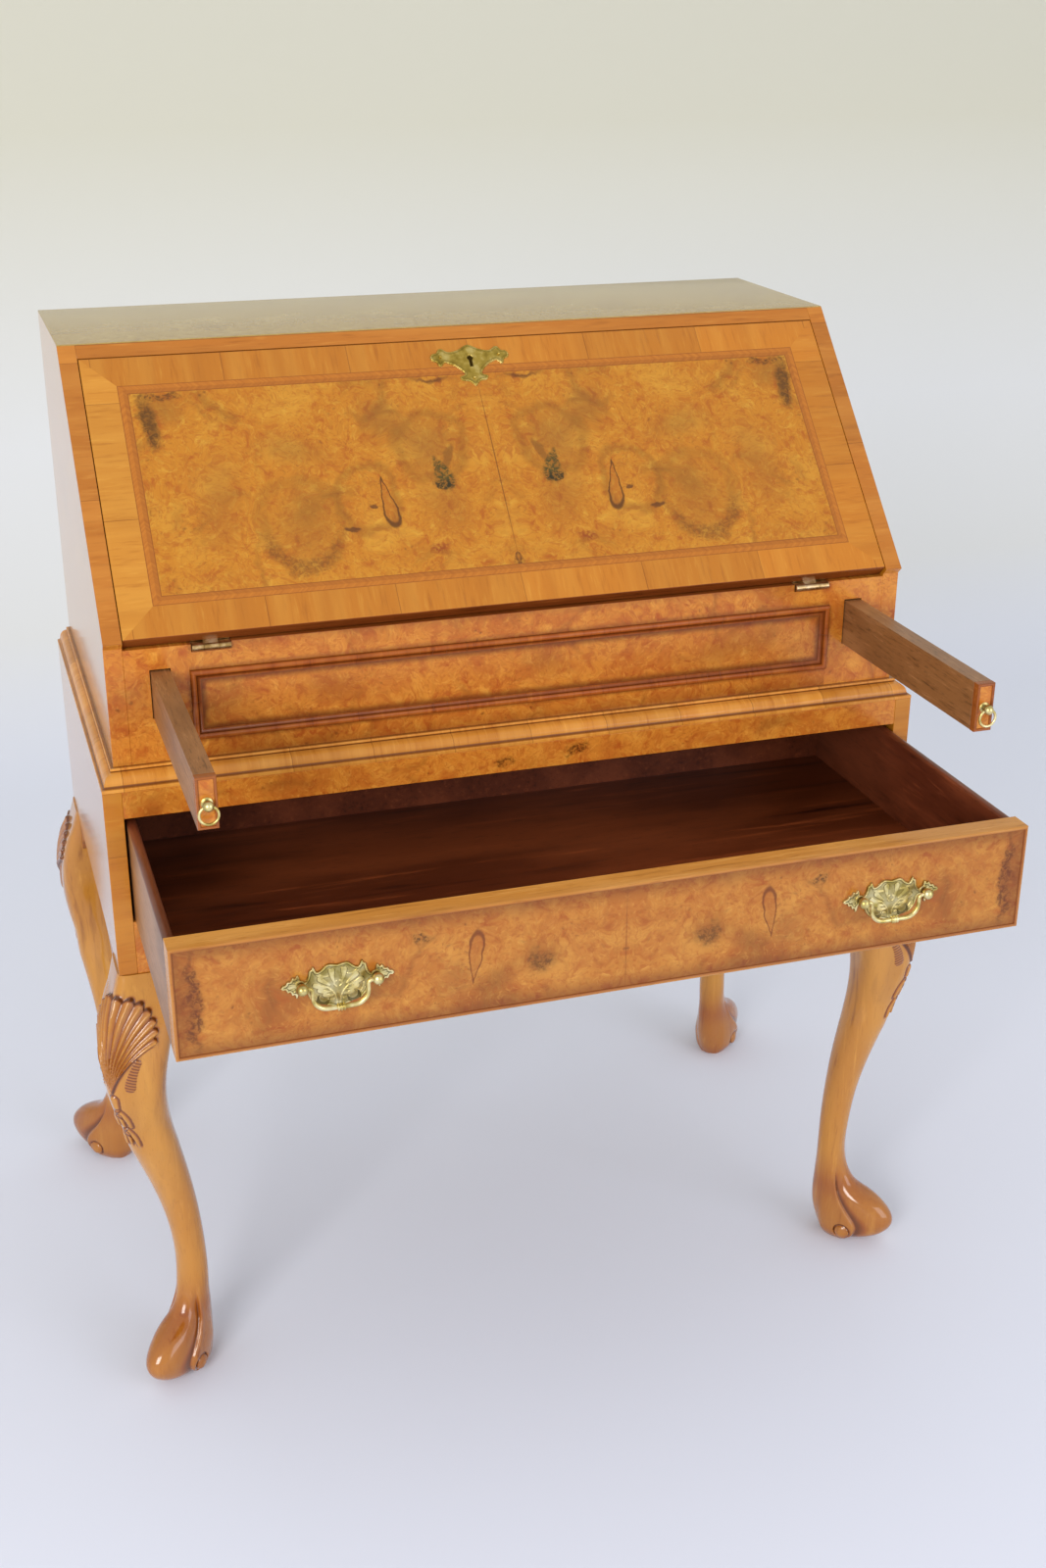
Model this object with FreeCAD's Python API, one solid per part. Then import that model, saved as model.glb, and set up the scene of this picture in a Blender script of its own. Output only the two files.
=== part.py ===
import FreeCAD, Part
import math
import os

# A burr walnut fall-front writing desk on cabriole legs, one solid per piece.
# Millimetres, Z up, front towards -Y.
# While it is modelled, y = 0 is the upper front face and z = 0 the floor.

V = FreeCAD.Vector

# Heights, from the floor up
leg_height = 454.5
lower_case_height = 179.5
bed_rise = 121.5
desk_rise = 226.5

# Plan sizes
upper_width = 761.0
lower_width = 788.0
case_depth = 407.0
lower_front_set = 22.0
top_depth = 207.0
slope_overhang = 6.0
slope_foot_rise = 8.0

# Board thicknesses
upper_side_thick = 16.5
lower_side_thick = 17.0
top_thick = 22.0
back_thick = 10.0
bed_thick = 16.0
upper_bottom_thick = 12.0
front_thick = 18.0
rail_thick = 20.0
lower_top_thick = 16.0

# Fall, its hinges and its lock
fall_side_gap = 0.8
fall_top_gap = 0.8
fall_foot_gap = 0.5
top_strip = 15.5
hinge_radius = 3.1
hinge_proud = 1.0
hinge_length = 34.0
hinge_end_inset = 92.5
hinge_leaf_thick = 1.5
hinge_leaf_depth = 26.0
hinge_pin_radius = 1.5
pin_clearance = 0.04
knuckle_gap = 0.3
notch_gap = 0.6
leather_margin = 48.0
leather_thick = 1.2
lock_width = 62.0
lock_height = 38.0
lock_thick = 8.0
bolt_width = 24.0
bolt_length = 20.0
bolt_thick = 4.0
bolt_throw = 8.0
bolt_clearance = 0.3
strike_thick = 1.2
strike_margin = 4.0
keyhole_drop = 22.0
keyhole_radius = 2.4
keyhole_slot = 2.4
keyhole_length = 9.0
escutcheon_width = 78.0
escutcheon_thick = 1.6
pin_head_radius = 1.6

# Lopers, their slots, channels and pulls
loper_width = 16.7
loper_height = 43.5
loper_length = 372.0
loper_reach = 247.0
loper_inset = 38.8
loper_drop = 21.0
loper_side_gap = 0.8
loper_top_gap = 1.3
loper_rest_gap = 0.3
loper_cap_thick = 8.0
loper_stop_length = 7.0
loper_stop_radius = 4.0
stile_width = 56.0
channel_wall = 11.0
pull_post_radius = 2.6
pull_post_length = 7.0
pull_ball_radius = 4.4
ring_radius = 7.5
ring_wire = 1.15
ring_hole_clearance = 0.75

# Frieze frame and waist moulding
frieze_frame_width = 9.0
frieze_frame_proud = 4.5
frieze_frame_top_drop = 23.5
frieze_frame_height = 64.5
waist_height = 16.0
mitre_gap = 0.05

# Drawer and its opening
rail_above_drawer = 25.5
rail_below_drawer = 52.5
drawer_gap = 0.8
drawer_top_gap = 2.6
drawer_run_gap = 0.3
drawer_pull = 248.0
drawer_front_thick = 21.0
drawer_length = 395.0
drawer_side_thick = 9.0
drawer_side_drop = 2.5
drawer_bottom_thick = 6.0
drawer_bottom_rise = 9.0
drawer_back_drop = 6.0
bead_width = 3.4
bead_proud = 1.6
bead_depth = 12.0
runner_width = 24.0
runner_height = 18.0
kicker_height = 8.0

# Drawer handles
handle_spacing = 488.0
handle_rise = 47.0
plate_width = 92.0
plate_thick = 2.0
post_spacing = 61.0
post_rise = 5.4
post_radius = 3.2
post_length = 8.5
post_ball_radius = 5.0
bail_wire = 1.9
bail_half_width = 22.5
bail_drop = 20.0
bail_corner = 12.0
bail_shoulder = 3.2
bail_end_length = 5.0
bail_collar_radius = 3.4
bail_collar_length = 7.0
bail_clearance = 0.08

# Legs, feet, knee brackets and corner blocks
foot_height = 72.0
ankle_inset = 33.0
front_foot_forward = 17.0
front_foot_inward = 6.0
front_left_foot_forward = 11.0
front_left_foot_inward = 12.0
back_foot_outward = 15.0
foot_half_width = 23.5
boss_radius = 8.0
boss_height = 14.0
boss_proud = 3.0
boss_along = 25.0
ear_length = 74.0
ear_depth = 42.0
ear_tip_depth = 10.0
ear_thick = 22.0
ear_set_back = 1.0
ear_gap = 0.4
block_leg = 44.0
block_height = 30.0

# Fitted interior
nest_set_back = 12.0
nest_board = 7.0
small_drawer_height = 56.0
small_drawer_width = 236.0
pigeonholes = 6
small_front_thick = 10.0
small_wall = 6.0
small_bottom = 4.0
small_gap = 0.4
small_drawer_back_room = 12.0
knob_radius = 7.0
knob_length = 15.0

# Places worked out from those sizes
case_bottom = leg_height
waist_z = case_bottom + lower_case_height
bed_z = waist_z + bed_rise
top_z = bed_z + desk_rise
top_under = top_z - top_thick
upper_half = upper_width / 2
lower_half = lower_width / 2
upper_inner = upper_half - upper_side_thick
lower_inner = lower_half - lower_side_thick
lower_front = -lower_front_set
lower_mid = (lower_front + case_depth) / 2
back_face = case_depth - back_thick
top_front = case_depth - top_depth
foot_y = -slope_overhang
foot_z = bed_z + slope_foot_rise
slope_length = math.hypot(top_front - foot_y, top_z - foot_z)
slope_cos = (top_front - foot_y) / slope_length
slope_sin = (top_z - foot_z) / slope_length
slope_degrees = math.degrees(math.atan2(slope_sin, slope_cos))
axis_y = -hinge_proud
axis_z = bed_z - hinge_radius
axis_u = (axis_y - foot_y) * slope_cos + (axis_z - foot_z) * slope_sin
axis_in = (axis_y - foot_y) * slope_sin - (axis_z - foot_z) * slope_cos
fall_thick = axis_in + hinge_radius
fall_half = upper_inner - fall_side_gap
fall_low = (bed_z + fall_foot_gap - foot_z + fall_thick * slope_cos) / slope_sin
strip_edge = slope_length - top_strip
fall_high = strip_edge - fall_top_gap
keyhole_u = fall_high - keyhole_drop
hinge_x = fall_half - hinge_end_inset + hinge_length / 2
loper_outer = upper_half - loper_inset
loper_inner = loper_outer - loper_width
loper_top = bed_z - loper_drop
loper_bottom = loper_top - loper_height
stile_inner = upper_inner - stile_width
opening_top = waist_z - rail_above_drawer
opening_bottom = case_bottom + rail_below_drawer
drawer_half = lower_inner - drawer_gap - 1.4
drawer_low = opening_bottom + drawer_run_gap
drawer_high = opening_top - drawer_top_gap
drawer_face = lower_front - drawer_pull
drawer_inner_face = drawer_face + drawer_front_thick
drawer_rear = drawer_face + drawer_length
handle_z = drawer_low + handle_rise
post_z = handle_z + post_rise
shelf_low = bed_z + small_drawer_height
nest_front = top_front + nest_set_back


def box(x0, x1, y0, y1, z0, z1):
    """A box between two corners."""
    return Part.makeBox(x1 - x0, y1 - y0, z1 - z0, V(x0, y0, z0))


def cylinder(radius, length, start, direction):
    """A round bar from a start point."""
    return Part.makeCylinder(radius, length, start, direction)


def flat_face(points):
    """The face of a flat polygon."""
    return Part.Face(Part.makePolygon(points + [points[0]]))


def prism(points, move):
    """A polygon's face pushed along a vector."""
    return flat_face(points).extrude(move)


def ruled(first, second):
    """A straight-sided solid between two like polygons, face by face."""
    faces = [flat_face(first), flat_face(second)]
    for i in range(len(first)):
        faces.append(flat_face([first[i - 1], first[i], second[i], second[i - 1]]))
    shell = Part.makeShell(faces)
    shell.sewShape()
    solid = Part.makeSolid(shell)
    if solid.Volume < 0:
        solid.reverse()
    return solid


def mirrored(shape):
    """The left-hand twin of a right-hand piece."""
    return shape.mirror(V(0, 0, 0), V(1, 0, 0))


def pair(shape):
    """A right-hand piece with its left-hand twin, as separate solids."""
    return Part.makeCompound([shape, mirrored(shape)])


def on_slope(shape):
    """Place a piece drawn flat: X stays, Y runs up the slope from its foot, Z points out of it."""
    placed = shape.copy()
    placed.rotate(V(0, 0, 0), V(1, 0, 0), slope_degrees)
    placed.translate(V(0, foot_y, foot_z))
    return placed


def slope_point(u, out=0.0):
    """The (y, z) place at distance u up the slope and so far out of its plane."""
    y = foot_y + u * slope_cos - out * slope_sin
    z = foot_z + u * slope_sin + out * slope_cos
    return y, z


def frame_strips(x0, x1, z0, z1, face_y, profile):
    """Four mitred strips round a rectangle; the profile gives (inward, proud) points."""
    corners = [(x0, z0, 1, 1), (x1, z0, -1, 1), (x1, z1, -1, -1), (x0, z1, 1, -1)]
    ends = []
    for x, z, in_x, in_z in corners:
        ends.append([V(x + in_x * w, face_y - proud, z + in_z * w) for w, proud in profile])
    runs = [V(1, 0, 0), V(0, 0, 1), V(-1, 0, 0), V(0, 0, -1)]
    strips = []
    for i, run in enumerate(runs):
        ease = run * (mitre_gap / 2)
        first = [point + ease for point in ends[i]]
        second = [point - ease for point in ends[(i + 1) % 4]]
        strips.append(ruled(first, second))
    return Part.makeCompound(strips)


# Upper case

def upper_side():
    """Right side board with its sloping front edge and the nose at the slope's foot."""
    nose_y, nose_z = slope_point(0.0, -slope_overhang / slope_sin)
    outline = [(nose_y, waist_z), (nose_y, nose_z), (foot_y, foot_z), (top_front, top_z)]
    outline += [(case_depth, top_z), (case_depth, waist_z)]
    points = [V(upper_inner, y, z) for y, z in outline]
    return prism(points, V(upper_side_thick, 0, 0))


def top_board():
    """Top board between the sides; its front edge meets the fall's top edge squarely."""
    edge_y, edge_z = slope_point(strip_edge)
    depth = (edge_z - top_under) / slope_cos
    under_y = edge_y + depth * slope_sin
    outline = [(top_front, top_z), (edge_y, edge_z), (under_y, top_under)]
    outline += [(case_depth, top_under), (case_depth, top_z)]
    points = [V(-upper_inner, y, z) for y, z in outline]
    board = prism(points, V(2 * upper_inner, 0, 0))
    return board.cut(on_slope(strike_block())).cut(on_slope(bolt_mortise()))


def lock_bolt_in():
    """How far the bolt's middle lies behind the slope's plane."""
    return fall_thick - lock_thick / 2


def strike_block():
    """The strike plate's block, let into the top board's front edge."""
    half = bolt_width / 2 + strike_margin
    reach = bolt_thick / 2 + strike_margin / 2
    middle = -lock_bolt_in()
    return box(-half, half, strip_edge, strip_edge + strike_thick, middle - reach, middle + reach)


def bolt_mortise():
    """Room for the thrown bolt."""
    half = bolt_width / 2 + bolt_clearance
    reach = bolt_thick / 2 + bolt_clearance
    middle = -lock_bolt_in()
    deep = strip_edge + bolt_throw + bolt_clearance
    return box(-half, half, fall_high, deep, middle - reach, middle + reach)


def strike_plate():
    """Plate round the bolt's mortise."""
    return on_slope(strike_block().cut(bolt_mortise()))


def writing_bed():
    """Writing bed behind the frieze, let in for the hinge leaves."""
    bed = box(-upper_inner, upper_inner, front_thick, back_face, bed_z - bed_thick, bed_z)
    return bed.cut(pair(hinge_bed()))


def frieze_board():
    """Fixed front board between the loper stiles, notched for the hinges."""
    board = box(-stile_inner, stile_inner, 0, front_thick, waist_z, bed_z)
    return board.cut(pair(hinge_notch())).cut(pair(hinge_bed()))


def loper_stile():
    """Front stile at the right with the loper's slot through it."""
    stile = box(stile_inner, upper_inner, 0, front_thick, waist_z, bed_z)
    slot = box(loper_inner - loper_side_gap, loper_outer + loper_side_gap, 0, front_thick,
               loper_bottom - loper_rest_gap, loper_top + loper_top_gap)
    return stile.cut(slot).cut(hinge_notch()).cut(hinge_bed())


def loper_channel():
    """Channel the right loper slides in: a floor, a low inner wall and a taller outer wall."""
    floor = waist_z + upper_bottom_thick
    seat = loper_bottom - loper_rest_gap
    left = loper_inner - loper_side_gap
    right = loper_outer + loper_side_gap
    low = seat + channel_wall
    high = loper_top
    outline = [(left - channel_wall, floor), (upper_inner, floor), (upper_inner, high), (right, high)]
    outline += [(right, seat), (left, seat), (left, low), (left - channel_wall, low)]
    points = [V(x, front_thick, z) for x, z in outline]
    return prism(points, V(0, back_face - front_thick, 0))


def frieze_frame():
    """Applied moulded frame on the frieze board."""
    width = frieze_frame_width
    proud = frieze_frame_proud
    profile = [(0, 0), (0, proud * 0.6), (width * 0.35, proud), (width * 0.7, proud * 0.6)]
    profile += [(width, proud * 0.2), (width, 0)]
    high = bed_z - frieze_frame_top_drop
    return frame_strips(-stile_inner, stile_inner, high - frieze_frame_height, high, 0.0, profile)


def waist_moulding():
    """Front and side lengths of the waist moulding, mitred at the front corners."""
    profile = [(0, 0), (1, 0), (1, 0.2), (0.93, 0.27), (0.78, 0.33), (0.76, 0.5), (0.7, 0.66), (0.58, 0.78)]
    profile += [(0.4, 0.84), (0.22, 0.85), (0.22, 0.93), (0.16, 1), (0, 1)]
    side_proud = lower_half - upper_half
    corner = []
    back = []
    for p, h in profile:
        corner.append(V(upper_half + p * side_proud, -p * lower_front_set, waist_z + h * waist_height))
        back.append(V(upper_half + p * side_proud, case_depth, waist_z + h * waist_height))
    left_corner = [V(-point.x, point.y, point.z) for point in corner]
    side = ruled(corner, back)
    return Part.makeCompound([ruled(left_corner, corner), side, mirrored(side)])


# Hinges

def hinge_span(share_from, share_to):
    """The stretch of the right hinge's length between two shares of it."""
    start = hinge_x - hinge_length / 2
    return start + share_from * hinge_length, start + share_to * hinge_length


def hinge_notch():
    """Notch in the front's top edge that takes the hinge barrel and the fall's leaf."""
    x0, x1 = hinge_span(0, 1)
    depth = fall_low - axis_u + hinge_radius - notch_gap
    low = axis_z - hinge_radius - notch_gap
    return box(x0 - notch_gap, x1 + notch_gap, 0, depth, low, bed_z)


def hinge_bed():
    """Shallow recess for the case leaf."""
    x0, x1 = hinge_span(0, 1)
    start = fall_low - axis_u
    return box(x0, x1, start, start + hinge_leaf_depth, bed_z - hinge_leaf_thick, bed_z)


def hinge_bore():
    """The bore through the right hinge's knuckles."""
    x0, x1 = hinge_span(0, 1)
    return cylinder(hinge_pin_radius + pin_clearance, x1 - x0, V(x0, axis_y, axis_z), V(1, 0, 0))


def case_leaf():
    """Leaf let into the bed, with the two outer knuckles."""
    x0, x1 = hinge_span(0, 1)
    start = fall_low - axis_u
    leaf = box(x0, x1, start, start + hinge_leaf_depth, bed_z - hinge_leaf_thick, bed_z)
    for share_from, share_to in ((0, 0.3), (0.7, 1)):
        k0, k1 = hinge_span(share_from, share_to)
        web = box(k0, k1, axis_y, start, bed_z - hinge_leaf_thick, bed_z)
        leaf = leaf.fuse(web).fuse(cylinder(hinge_radius, k1 - k0, V(k0, axis_y, axis_z), V(1, 0, 0)))
    return leaf.cut(hinge_bore()).removeSplitter()


def fall_leaf():
    """Leaf let into the fall's inner face, with the middle knuckle; drawn closed."""
    x0, x1 = hinge_span(0, 1)
    k0, k1 = hinge_span(0.3, 0.7)
    k0 += knuckle_gap
    k1 -= knuckle_gap
    inner = -fall_thick
    plate = box(x0, x1, fall_low, fall_low + hinge_leaf_depth, inner, inner + hinge_leaf_thick)
    web = box(k0, k1, axis_u, fall_low, inner, inner + hinge_leaf_thick)
    barrel = cylinder(hinge_radius, k1 - k0, V(k0, axis_u, -axis_in), V(1, 0, 0))
    leaf = on_slope(plate.fuse(web).fuse(barrel))
    return leaf.cut(hinge_bore()).removeSplitter()


def hinge_pin():
    """Pin through the right hinge's knuckles."""
    x0, x1 = hinge_span(0, 1)
    return cylinder(hinge_pin_radius, x1 - x0, V(x0, axis_y, axis_z), V(1, 0, 0))


# Fall

def keyhole(z0, z1):
    """Keyhole through whatever lies between two depths, in the slope's own frame."""
    round_hole = cylinder(keyhole_radius, z1 - z0, V(0, keyhole_u, z0), V(0, 0, 1))
    slot = box(-keyhole_slot / 2, keyhole_slot / 2, keyhole_u - keyhole_length, keyhole_u, z0, z1)
    return round_hole.fuse(slot)


def fall_panel():
    """Fall board, recessed inside for the leather, the lock and the hinge leaves."""
    inner = -fall_thick
    board = box(-fall_half, fall_half, fall_low, fall_high, inner, 0)
    board = board.cut(leather_block()).cut(lock_block()).cut(keyhole(inner, 0))
    for side in (1, -1):
        x0, x1 = sorted(side * x for x in hinge_span(0, 1))
        recess = box(x0, x1, fall_low, fall_low + hinge_leaf_depth, inner, inner + hinge_leaf_thick)
        board = board.cut(recess)
    return on_slope(board)


def leather_block():
    """The leather writing panel, flat in the fall's inner face."""
    inner = -fall_thick
    half = fall_half - leather_margin
    return box(-half, half, fall_low + leather_margin, fall_high - leather_margin,
               inner, inner + leather_thick)


def lock_block():
    """The lock's outside."""
    inner = -fall_thick
    half = lock_width / 2
    return box(-half, half, fall_high - lock_height, fall_high, inner, inner + lock_thick)


def lock_case():
    """Lock case with the bolt's channel and the keyhole through it."""
    half = bolt_width / 2 + bolt_clearance
    reach = bolt_thick / 2 + bolt_clearance
    middle = -lock_bolt_in()
    low = fall_high - bolt_length - bolt_clearance
    channel = box(-half, half, low, fall_high, middle - reach, middle + reach)
    return on_slope(lock_block().cut(channel).cut(keyhole(-fall_thick, lock_thick - fall_thick)))


def lock_bolt():
    """Bolt, drawn back level with the fall's top edge."""
    half = bolt_width / 2
    reach = bolt_thick / 2
    middle = -lock_bolt_in()
    bolt = box(-half, half, fall_high - bolt_length, fall_high, middle - reach, middle + reach)
    return on_slope(bolt)


def escutcheon_point(x, y):
    """A place on the escutcheon, in shares of its width from its middle."""
    return V(x * escutcheon_width, keyhole_u + keyhole_slot + y * escutcheon_width, 0)


def escutcheon():
    """Three-pointed cartouche plate round the keyhole; its outline is in shares of its width."""
    half = [(0, 0.16), (0.1, 0.122), (0.218, 0.083), (0.346, 0.122), (0.404, 0.077), (0.5, 0)]
    half += [(0.442, -0.07), (0.404, -0.122), (0.346, -0.09), (0.244, -0.109), (0.154, -0.18)]
    half += [(0.109, -0.244), (0.186, -0.288), (0.16, -0.34), (0.077, -0.353), (0, -0.43)]
    outline = half + [(-x, y) for x, y in reversed(half[1:-1])]
    points = [escutcheon_point(x, y) for x, y in outline]
    plate = prism(points, V(0, 0, escutcheon_thick))
    return on_slope(plate.cut(keyhole(0, escutcheon_thick)))


def escutcheon_pins():
    """Domed pin heads on the plate's three points."""
    heads = []
    reach = 2 * pin_head_radius
    for x, y in ((0.37, 0.006), (-0.37, 0.006), (0, -0.31)):
        centre = escutcheon_point(x, y) + V(0, 0, escutcheon_thick)
        dome = Part.makeSphere(pin_head_radius, centre)
        above = box(centre.x - reach, centre.x + reach, centre.y - reach, centre.y + reach,
                    centre.z, centre.z + reach)
        heads.append(on_slope(dome.common(above)))
    return Part.makeCompound(heads)


# Lopers, drawn pulled out

def loper_bar():
    """Right loper with its stop peg behind the stile."""
    front = loper_cap_thick - loper_reach
    bar = box(loper_inner, loper_outer, front, loper_length - loper_reach, loper_bottom, loper_top)
    peg_z = loper_bottom + channel_wall + 2 * loper_stop_radius
    peg_y = front_thick + loper_stop_radius + loper_rest_gap
    peg_start = V(loper_inner - loper_stop_length, peg_y, peg_z)
    peg = cylinder(loper_stop_radius, loper_stop_length, peg_start, V(1, 0, 0))
    return bar.fuse(peg)


def loper_cap():
    """Veneered end of the right loper with a raised bead round it."""
    front = -loper_reach
    cap = box(loper_inner, loper_outer, front, front + loper_cap_thick, loper_bottom, loper_top)
    rim = bead_width * 0.75
    panel = box(loper_inner + rim, loper_outer - rim, front, front + bead_proud,
                loper_bottom + rim, loper_top - rim)
    return cap.cut(panel)


def pull_axis(hand=1):
    """The point where a loper's ring passes through its post, at the right or (hand -1) the left."""
    x = hand * (loper_inner + loper_outer) / 2
    return V(x, bead_proud - loper_reach - pull_post_length, (loper_bottom + loper_top) / 2)


def pull_post(hand):
    """Turned post of one loper's pull, with the ring's hole through its ball."""
    eye = pull_axis(hand)
    stem = cylinder(pull_post_radius, pull_post_length, eye, V(0, 1, 0))
    rose = cylinder(pull_ball_radius, 1.2, V(eye.x, bead_proud - loper_reach - 1.2, eye.z), V(0, 1, 0))
    ball = Part.makeSphere(pull_ball_radius, eye)
    hole_radius = ring_wire + ring_hole_clearance
    start = V(eye.x - 2 * pull_ball_radius, eye.y, eye.z)
    hole = cylinder(hole_radius, 4 * pull_ball_radius, start, V(1, 0, 0))
    waist = ring_waist(eye)
    return stem.fuse(rose).fuse(ball).cut(hole).cut(waist)


def ring_waist(eye):
    """Flats that leave the post only as thick at the hole as the ring's curve lets pass."""
    keep = pull_post_radius
    deep = ring_wire + 4 * ring_hole_clearance
    wide = 2 * pull_ball_radius
    right = box(eye.x + keep, eye.x + wide, eye.y - wide, eye.y + deep, eye.z - wide, eye.z + wide)
    left = box(eye.x - wide, eye.x - keep, eye.y - wide, eye.y + deep, eye.z - wide, eye.z + wide)
    return right.fuse(left)


def pull_ring():
    """Ring hanging from the right loper's post."""
    eye = pull_axis()
    centre = V(eye.x, eye.y, eye.z - ring_radius)
    return Part.makeTorus(ring_radius, ring_wire, centre, V(0, 1, 0))


# Lower case

def lower_side():
    """Right side board of the lower case."""
    return box(lower_inner, lower_half, lower_front, case_depth, case_bottom, waist_z)


def drawer_runner():
    """Runner under the right drawer side."""
    back = lower_front + rail_thick
    low = opening_bottom - runner_height
    return box(lower_inner - runner_width, lower_inner, back, back_face, low, opening_bottom)


def drawer_kicker():
    """Kicker over the right drawer side."""
    back = lower_front + rail_thick
    high = waist_z - lower_top_thick
    return box(lower_inner - runner_width, lower_inner, back, back_face, high - kicker_height, high)


def corner_blocks():
    """Triangular blocks that tie the legs to the case."""
    blocks = []
    front = lower_front + rail_thick
    for side in (1, -1):
        for start, inward in ((front, 1), (back_face, -1)):
            x = side * lower_inner
            outline = [V(x, start, case_bottom), V(x - side * block_leg, start, case_bottom)]
            outline.append(V(x, start + inward * block_leg, case_bottom))
            blocks.append(prism(outline, V(0, 0, block_height)))
    return Part.makeCompound(blocks)


# Legs

def lean_share(height):
    """How much of the foot's lean a height has taken up: none at the knee, all of it at the ankle."""
    start = 0.75 * leg_height
    end = 0.25 * leg_height
    share = min(1.0, max(0.0, (start - height) / (start - end)))
    return share * share * (3 - 2 * share)


def leg_section(height, centre_inset, radius_at, lean):
    """A closed curve round the front right leg at one height; radius_at gives it by bearing."""
    count = 24
    points = []
    share = lean_share(height)
    for step in range(count):
        bearing = 2 * math.pi * step / count
        radius = radius_at(bearing)
        along = bearing + math.pi / 4
        x = lower_half - centre_inset + share * lean[0] + radius * math.cos(along)
        y = lower_front + centre_inset - share * lean[1] - radius * math.sin(along)
        points.append(V(x, y, height))
    curve = Part.BSplineCurve()
    curve.interpolate(Points=points, PeriodicFlag=True)
    return Part.Wire([curve.toShape()])


def squarish(half, power):
    """Radius of a rounded square of that half width, by bearing from its corner."""
    def radius_at(bearing):
        along = bearing + math.pi / 4
        return half / (abs(math.cos(along)) ** power + abs(math.sin(along)) ** power) ** (1 / power)
    return radius_at


def egg(toe, heel, side):
    """Radius of an ellipse set forward along the knee's bearing, as the foot is."""
    def radius_at(bearing):
        middle = (toe - heel) / 2
        length = (toe + heel) / 2
        c = math.cos(bearing)
        s = math.sin(bearing)
        a = (c / length) ** 2 + (s / side) ** 2
        b = middle * c / length ** 2
        return (b + math.sqrt(b * b + a * (1 - (middle / length) ** 2))) / a
    return radius_at


# Share of the height above the foot, how far the leg stands out and reaches in, and its squareness
leg_stations = [
    (1.0, 1.5, 52.0, 7.0),
    (0.98, 4.0, 52.0, 6.0),
    (0.923, 14.0, 50.0, 5.0),
    (0.836, 23.5, 43.0, 4.0),
    (0.698, 25.16, 34.0, 3.2),
    (0.568, 14.5, 35.5, 2.5),
    (0.431, 0.0, 41.5, 2.2),
    (0.293, -12.0, 46.0, 2.1),
    (0.154, -17.8, 48.2, 2.0),
    (0.06, -17.2, 48.8, 2.0),
]

# Share of the foot's height, toe, heel and share of the foot's half width
foot_stations = [
    (1.0, 25.0, 17.0, 0.69),
    (0.87, 35.0, 17.5, 0.76),
    (0.76, 52.0, 18.0, 0.84),
    (0.63, 65.5, 18.0, 0.92),
    (0.46, 74.0, 17.0, 1.0),
    (0.24, 70.0, 12.5, 1.0),
    (0.08, 54.0, 7.5, 0.86),
    (0.0, 40.0, 4.0, 0.66),
]


def leg(lean):
    """Cabriole leg with its scroll foot for the front right corner; its foot leans out by (side, front)."""
    wires = []
    shank = leg_height - foot_height
    for share, proud, reach, power in leg_stations:
        half = (proud + reach) / 2
        wires.append(leg_section(foot_height + share * shank, reach - half, squarish(half, power), lean))
    for share, toe, heel, side in foot_stations:
        outline = egg(toe, heel, side * foot_half_width)
        wires.append(leg_section(share * foot_height, ankle_inset, outline, lean))
    body = Part.makeLoft(wires, True, False)
    return body.fuse(scroll_boss(lean))


def scroll_boss(lean):
    """The scroll's eye on both flanks of the foot, as one bar across it."""
    half = foot_half_width + boss_proud
    root = math.sqrt(0.5)
    x = lower_half - ankle_inset + lean[0] + root * boss_along
    y = lower_front + ankle_inset - lean[1] - root * boss_along
    start = V(x - root * half, y - root * half, boss_height)
    return cylinder(boss_radius, 2 * half, start, V(root, root, 0))


def ear(length_from):
    """Outline of a knee bracket: (distance from the case corner, drop below the case)."""
    tip = length_from + ear_length
    start = V(length_from, -ear_depth, 0)
    middle = V(length_from + 0.42 * ear_length, -ear_tip_depth - 0.2 * (ear_depth - ear_tip_depth), 0)
    end = V(tip - 8.0, -ear_tip_depth, 0)
    edges = [Part.Arc(start, middle, end).toShape()]
    corners = [end, V(tip, -ear_tip_depth * 0.6, 0), V(tip, 0, 0), V(length_from, 0, 0), start]
    for first, second in zip(corners, corners[1:]):
        edges.append(Part.LineSegment(first, second).toShape())
    return Part.Face(Part.Wire(edges))


def knee_brackets():
    """Both brackets of the front right leg, one along the front and one along the side."""
    start = leg_stations[1][2] + ear_gap
    face = ear(start)
    front = face.extrude(V(0, 0, ear_thick))
    front.rotate(V(0, 0, 0), V(1, 0, 0), 90)
    front = front.mirror(V(0, 0, 0), V(1, 0, 0))
    front.translate(V(lower_half, lower_front + ear_set_back + ear_thick, case_bottom))
    side = face.extrude(V(0, 0, ear_thick))
    side.rotate(V(0, 0, 0), V(1, 0, 0), 90)
    side.rotate(V(0, 0, 0), V(0, 0, 1), 90)
    side.translate(V(lower_half - ear_set_back - ear_thick, lower_front, case_bottom))
    return [front, side]


def at_back(shape):
    """A front piece turned round for the back of the lower case."""
    return shape.mirror(V(0, lower_mid, 0), V(0, 1, 0))


# Drawer, drawn pulled out

def drawer_front():
    """Drawer front inside its cock beads."""
    return box(bead_width - drawer_half, drawer_half - bead_width, drawer_face, drawer_inner_face,
               drawer_low + bead_width, drawer_high - bead_width).fuse(drawer_front_core())


def drawer_front_core():
    """The front's full width behind the beads."""
    return box(-drawer_half, drawer_half, drawer_face + bead_depth, drawer_inner_face,
               drawer_low, drawer_high)


def drawer_beads():
    """Cock beads round the drawer front, mitred."""
    profile = [(0, -bead_depth), (0, bead_proud * 0.5), (bead_width * 0.3, bead_proud)]
    profile += [(bead_width * 0.7, bead_proud), (bead_width, bead_proud * 0.5), (bead_width, -bead_depth)]
    return frame_strips(-drawer_half, drawer_half, drawer_low, drawer_high, drawer_face, profile)


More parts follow.
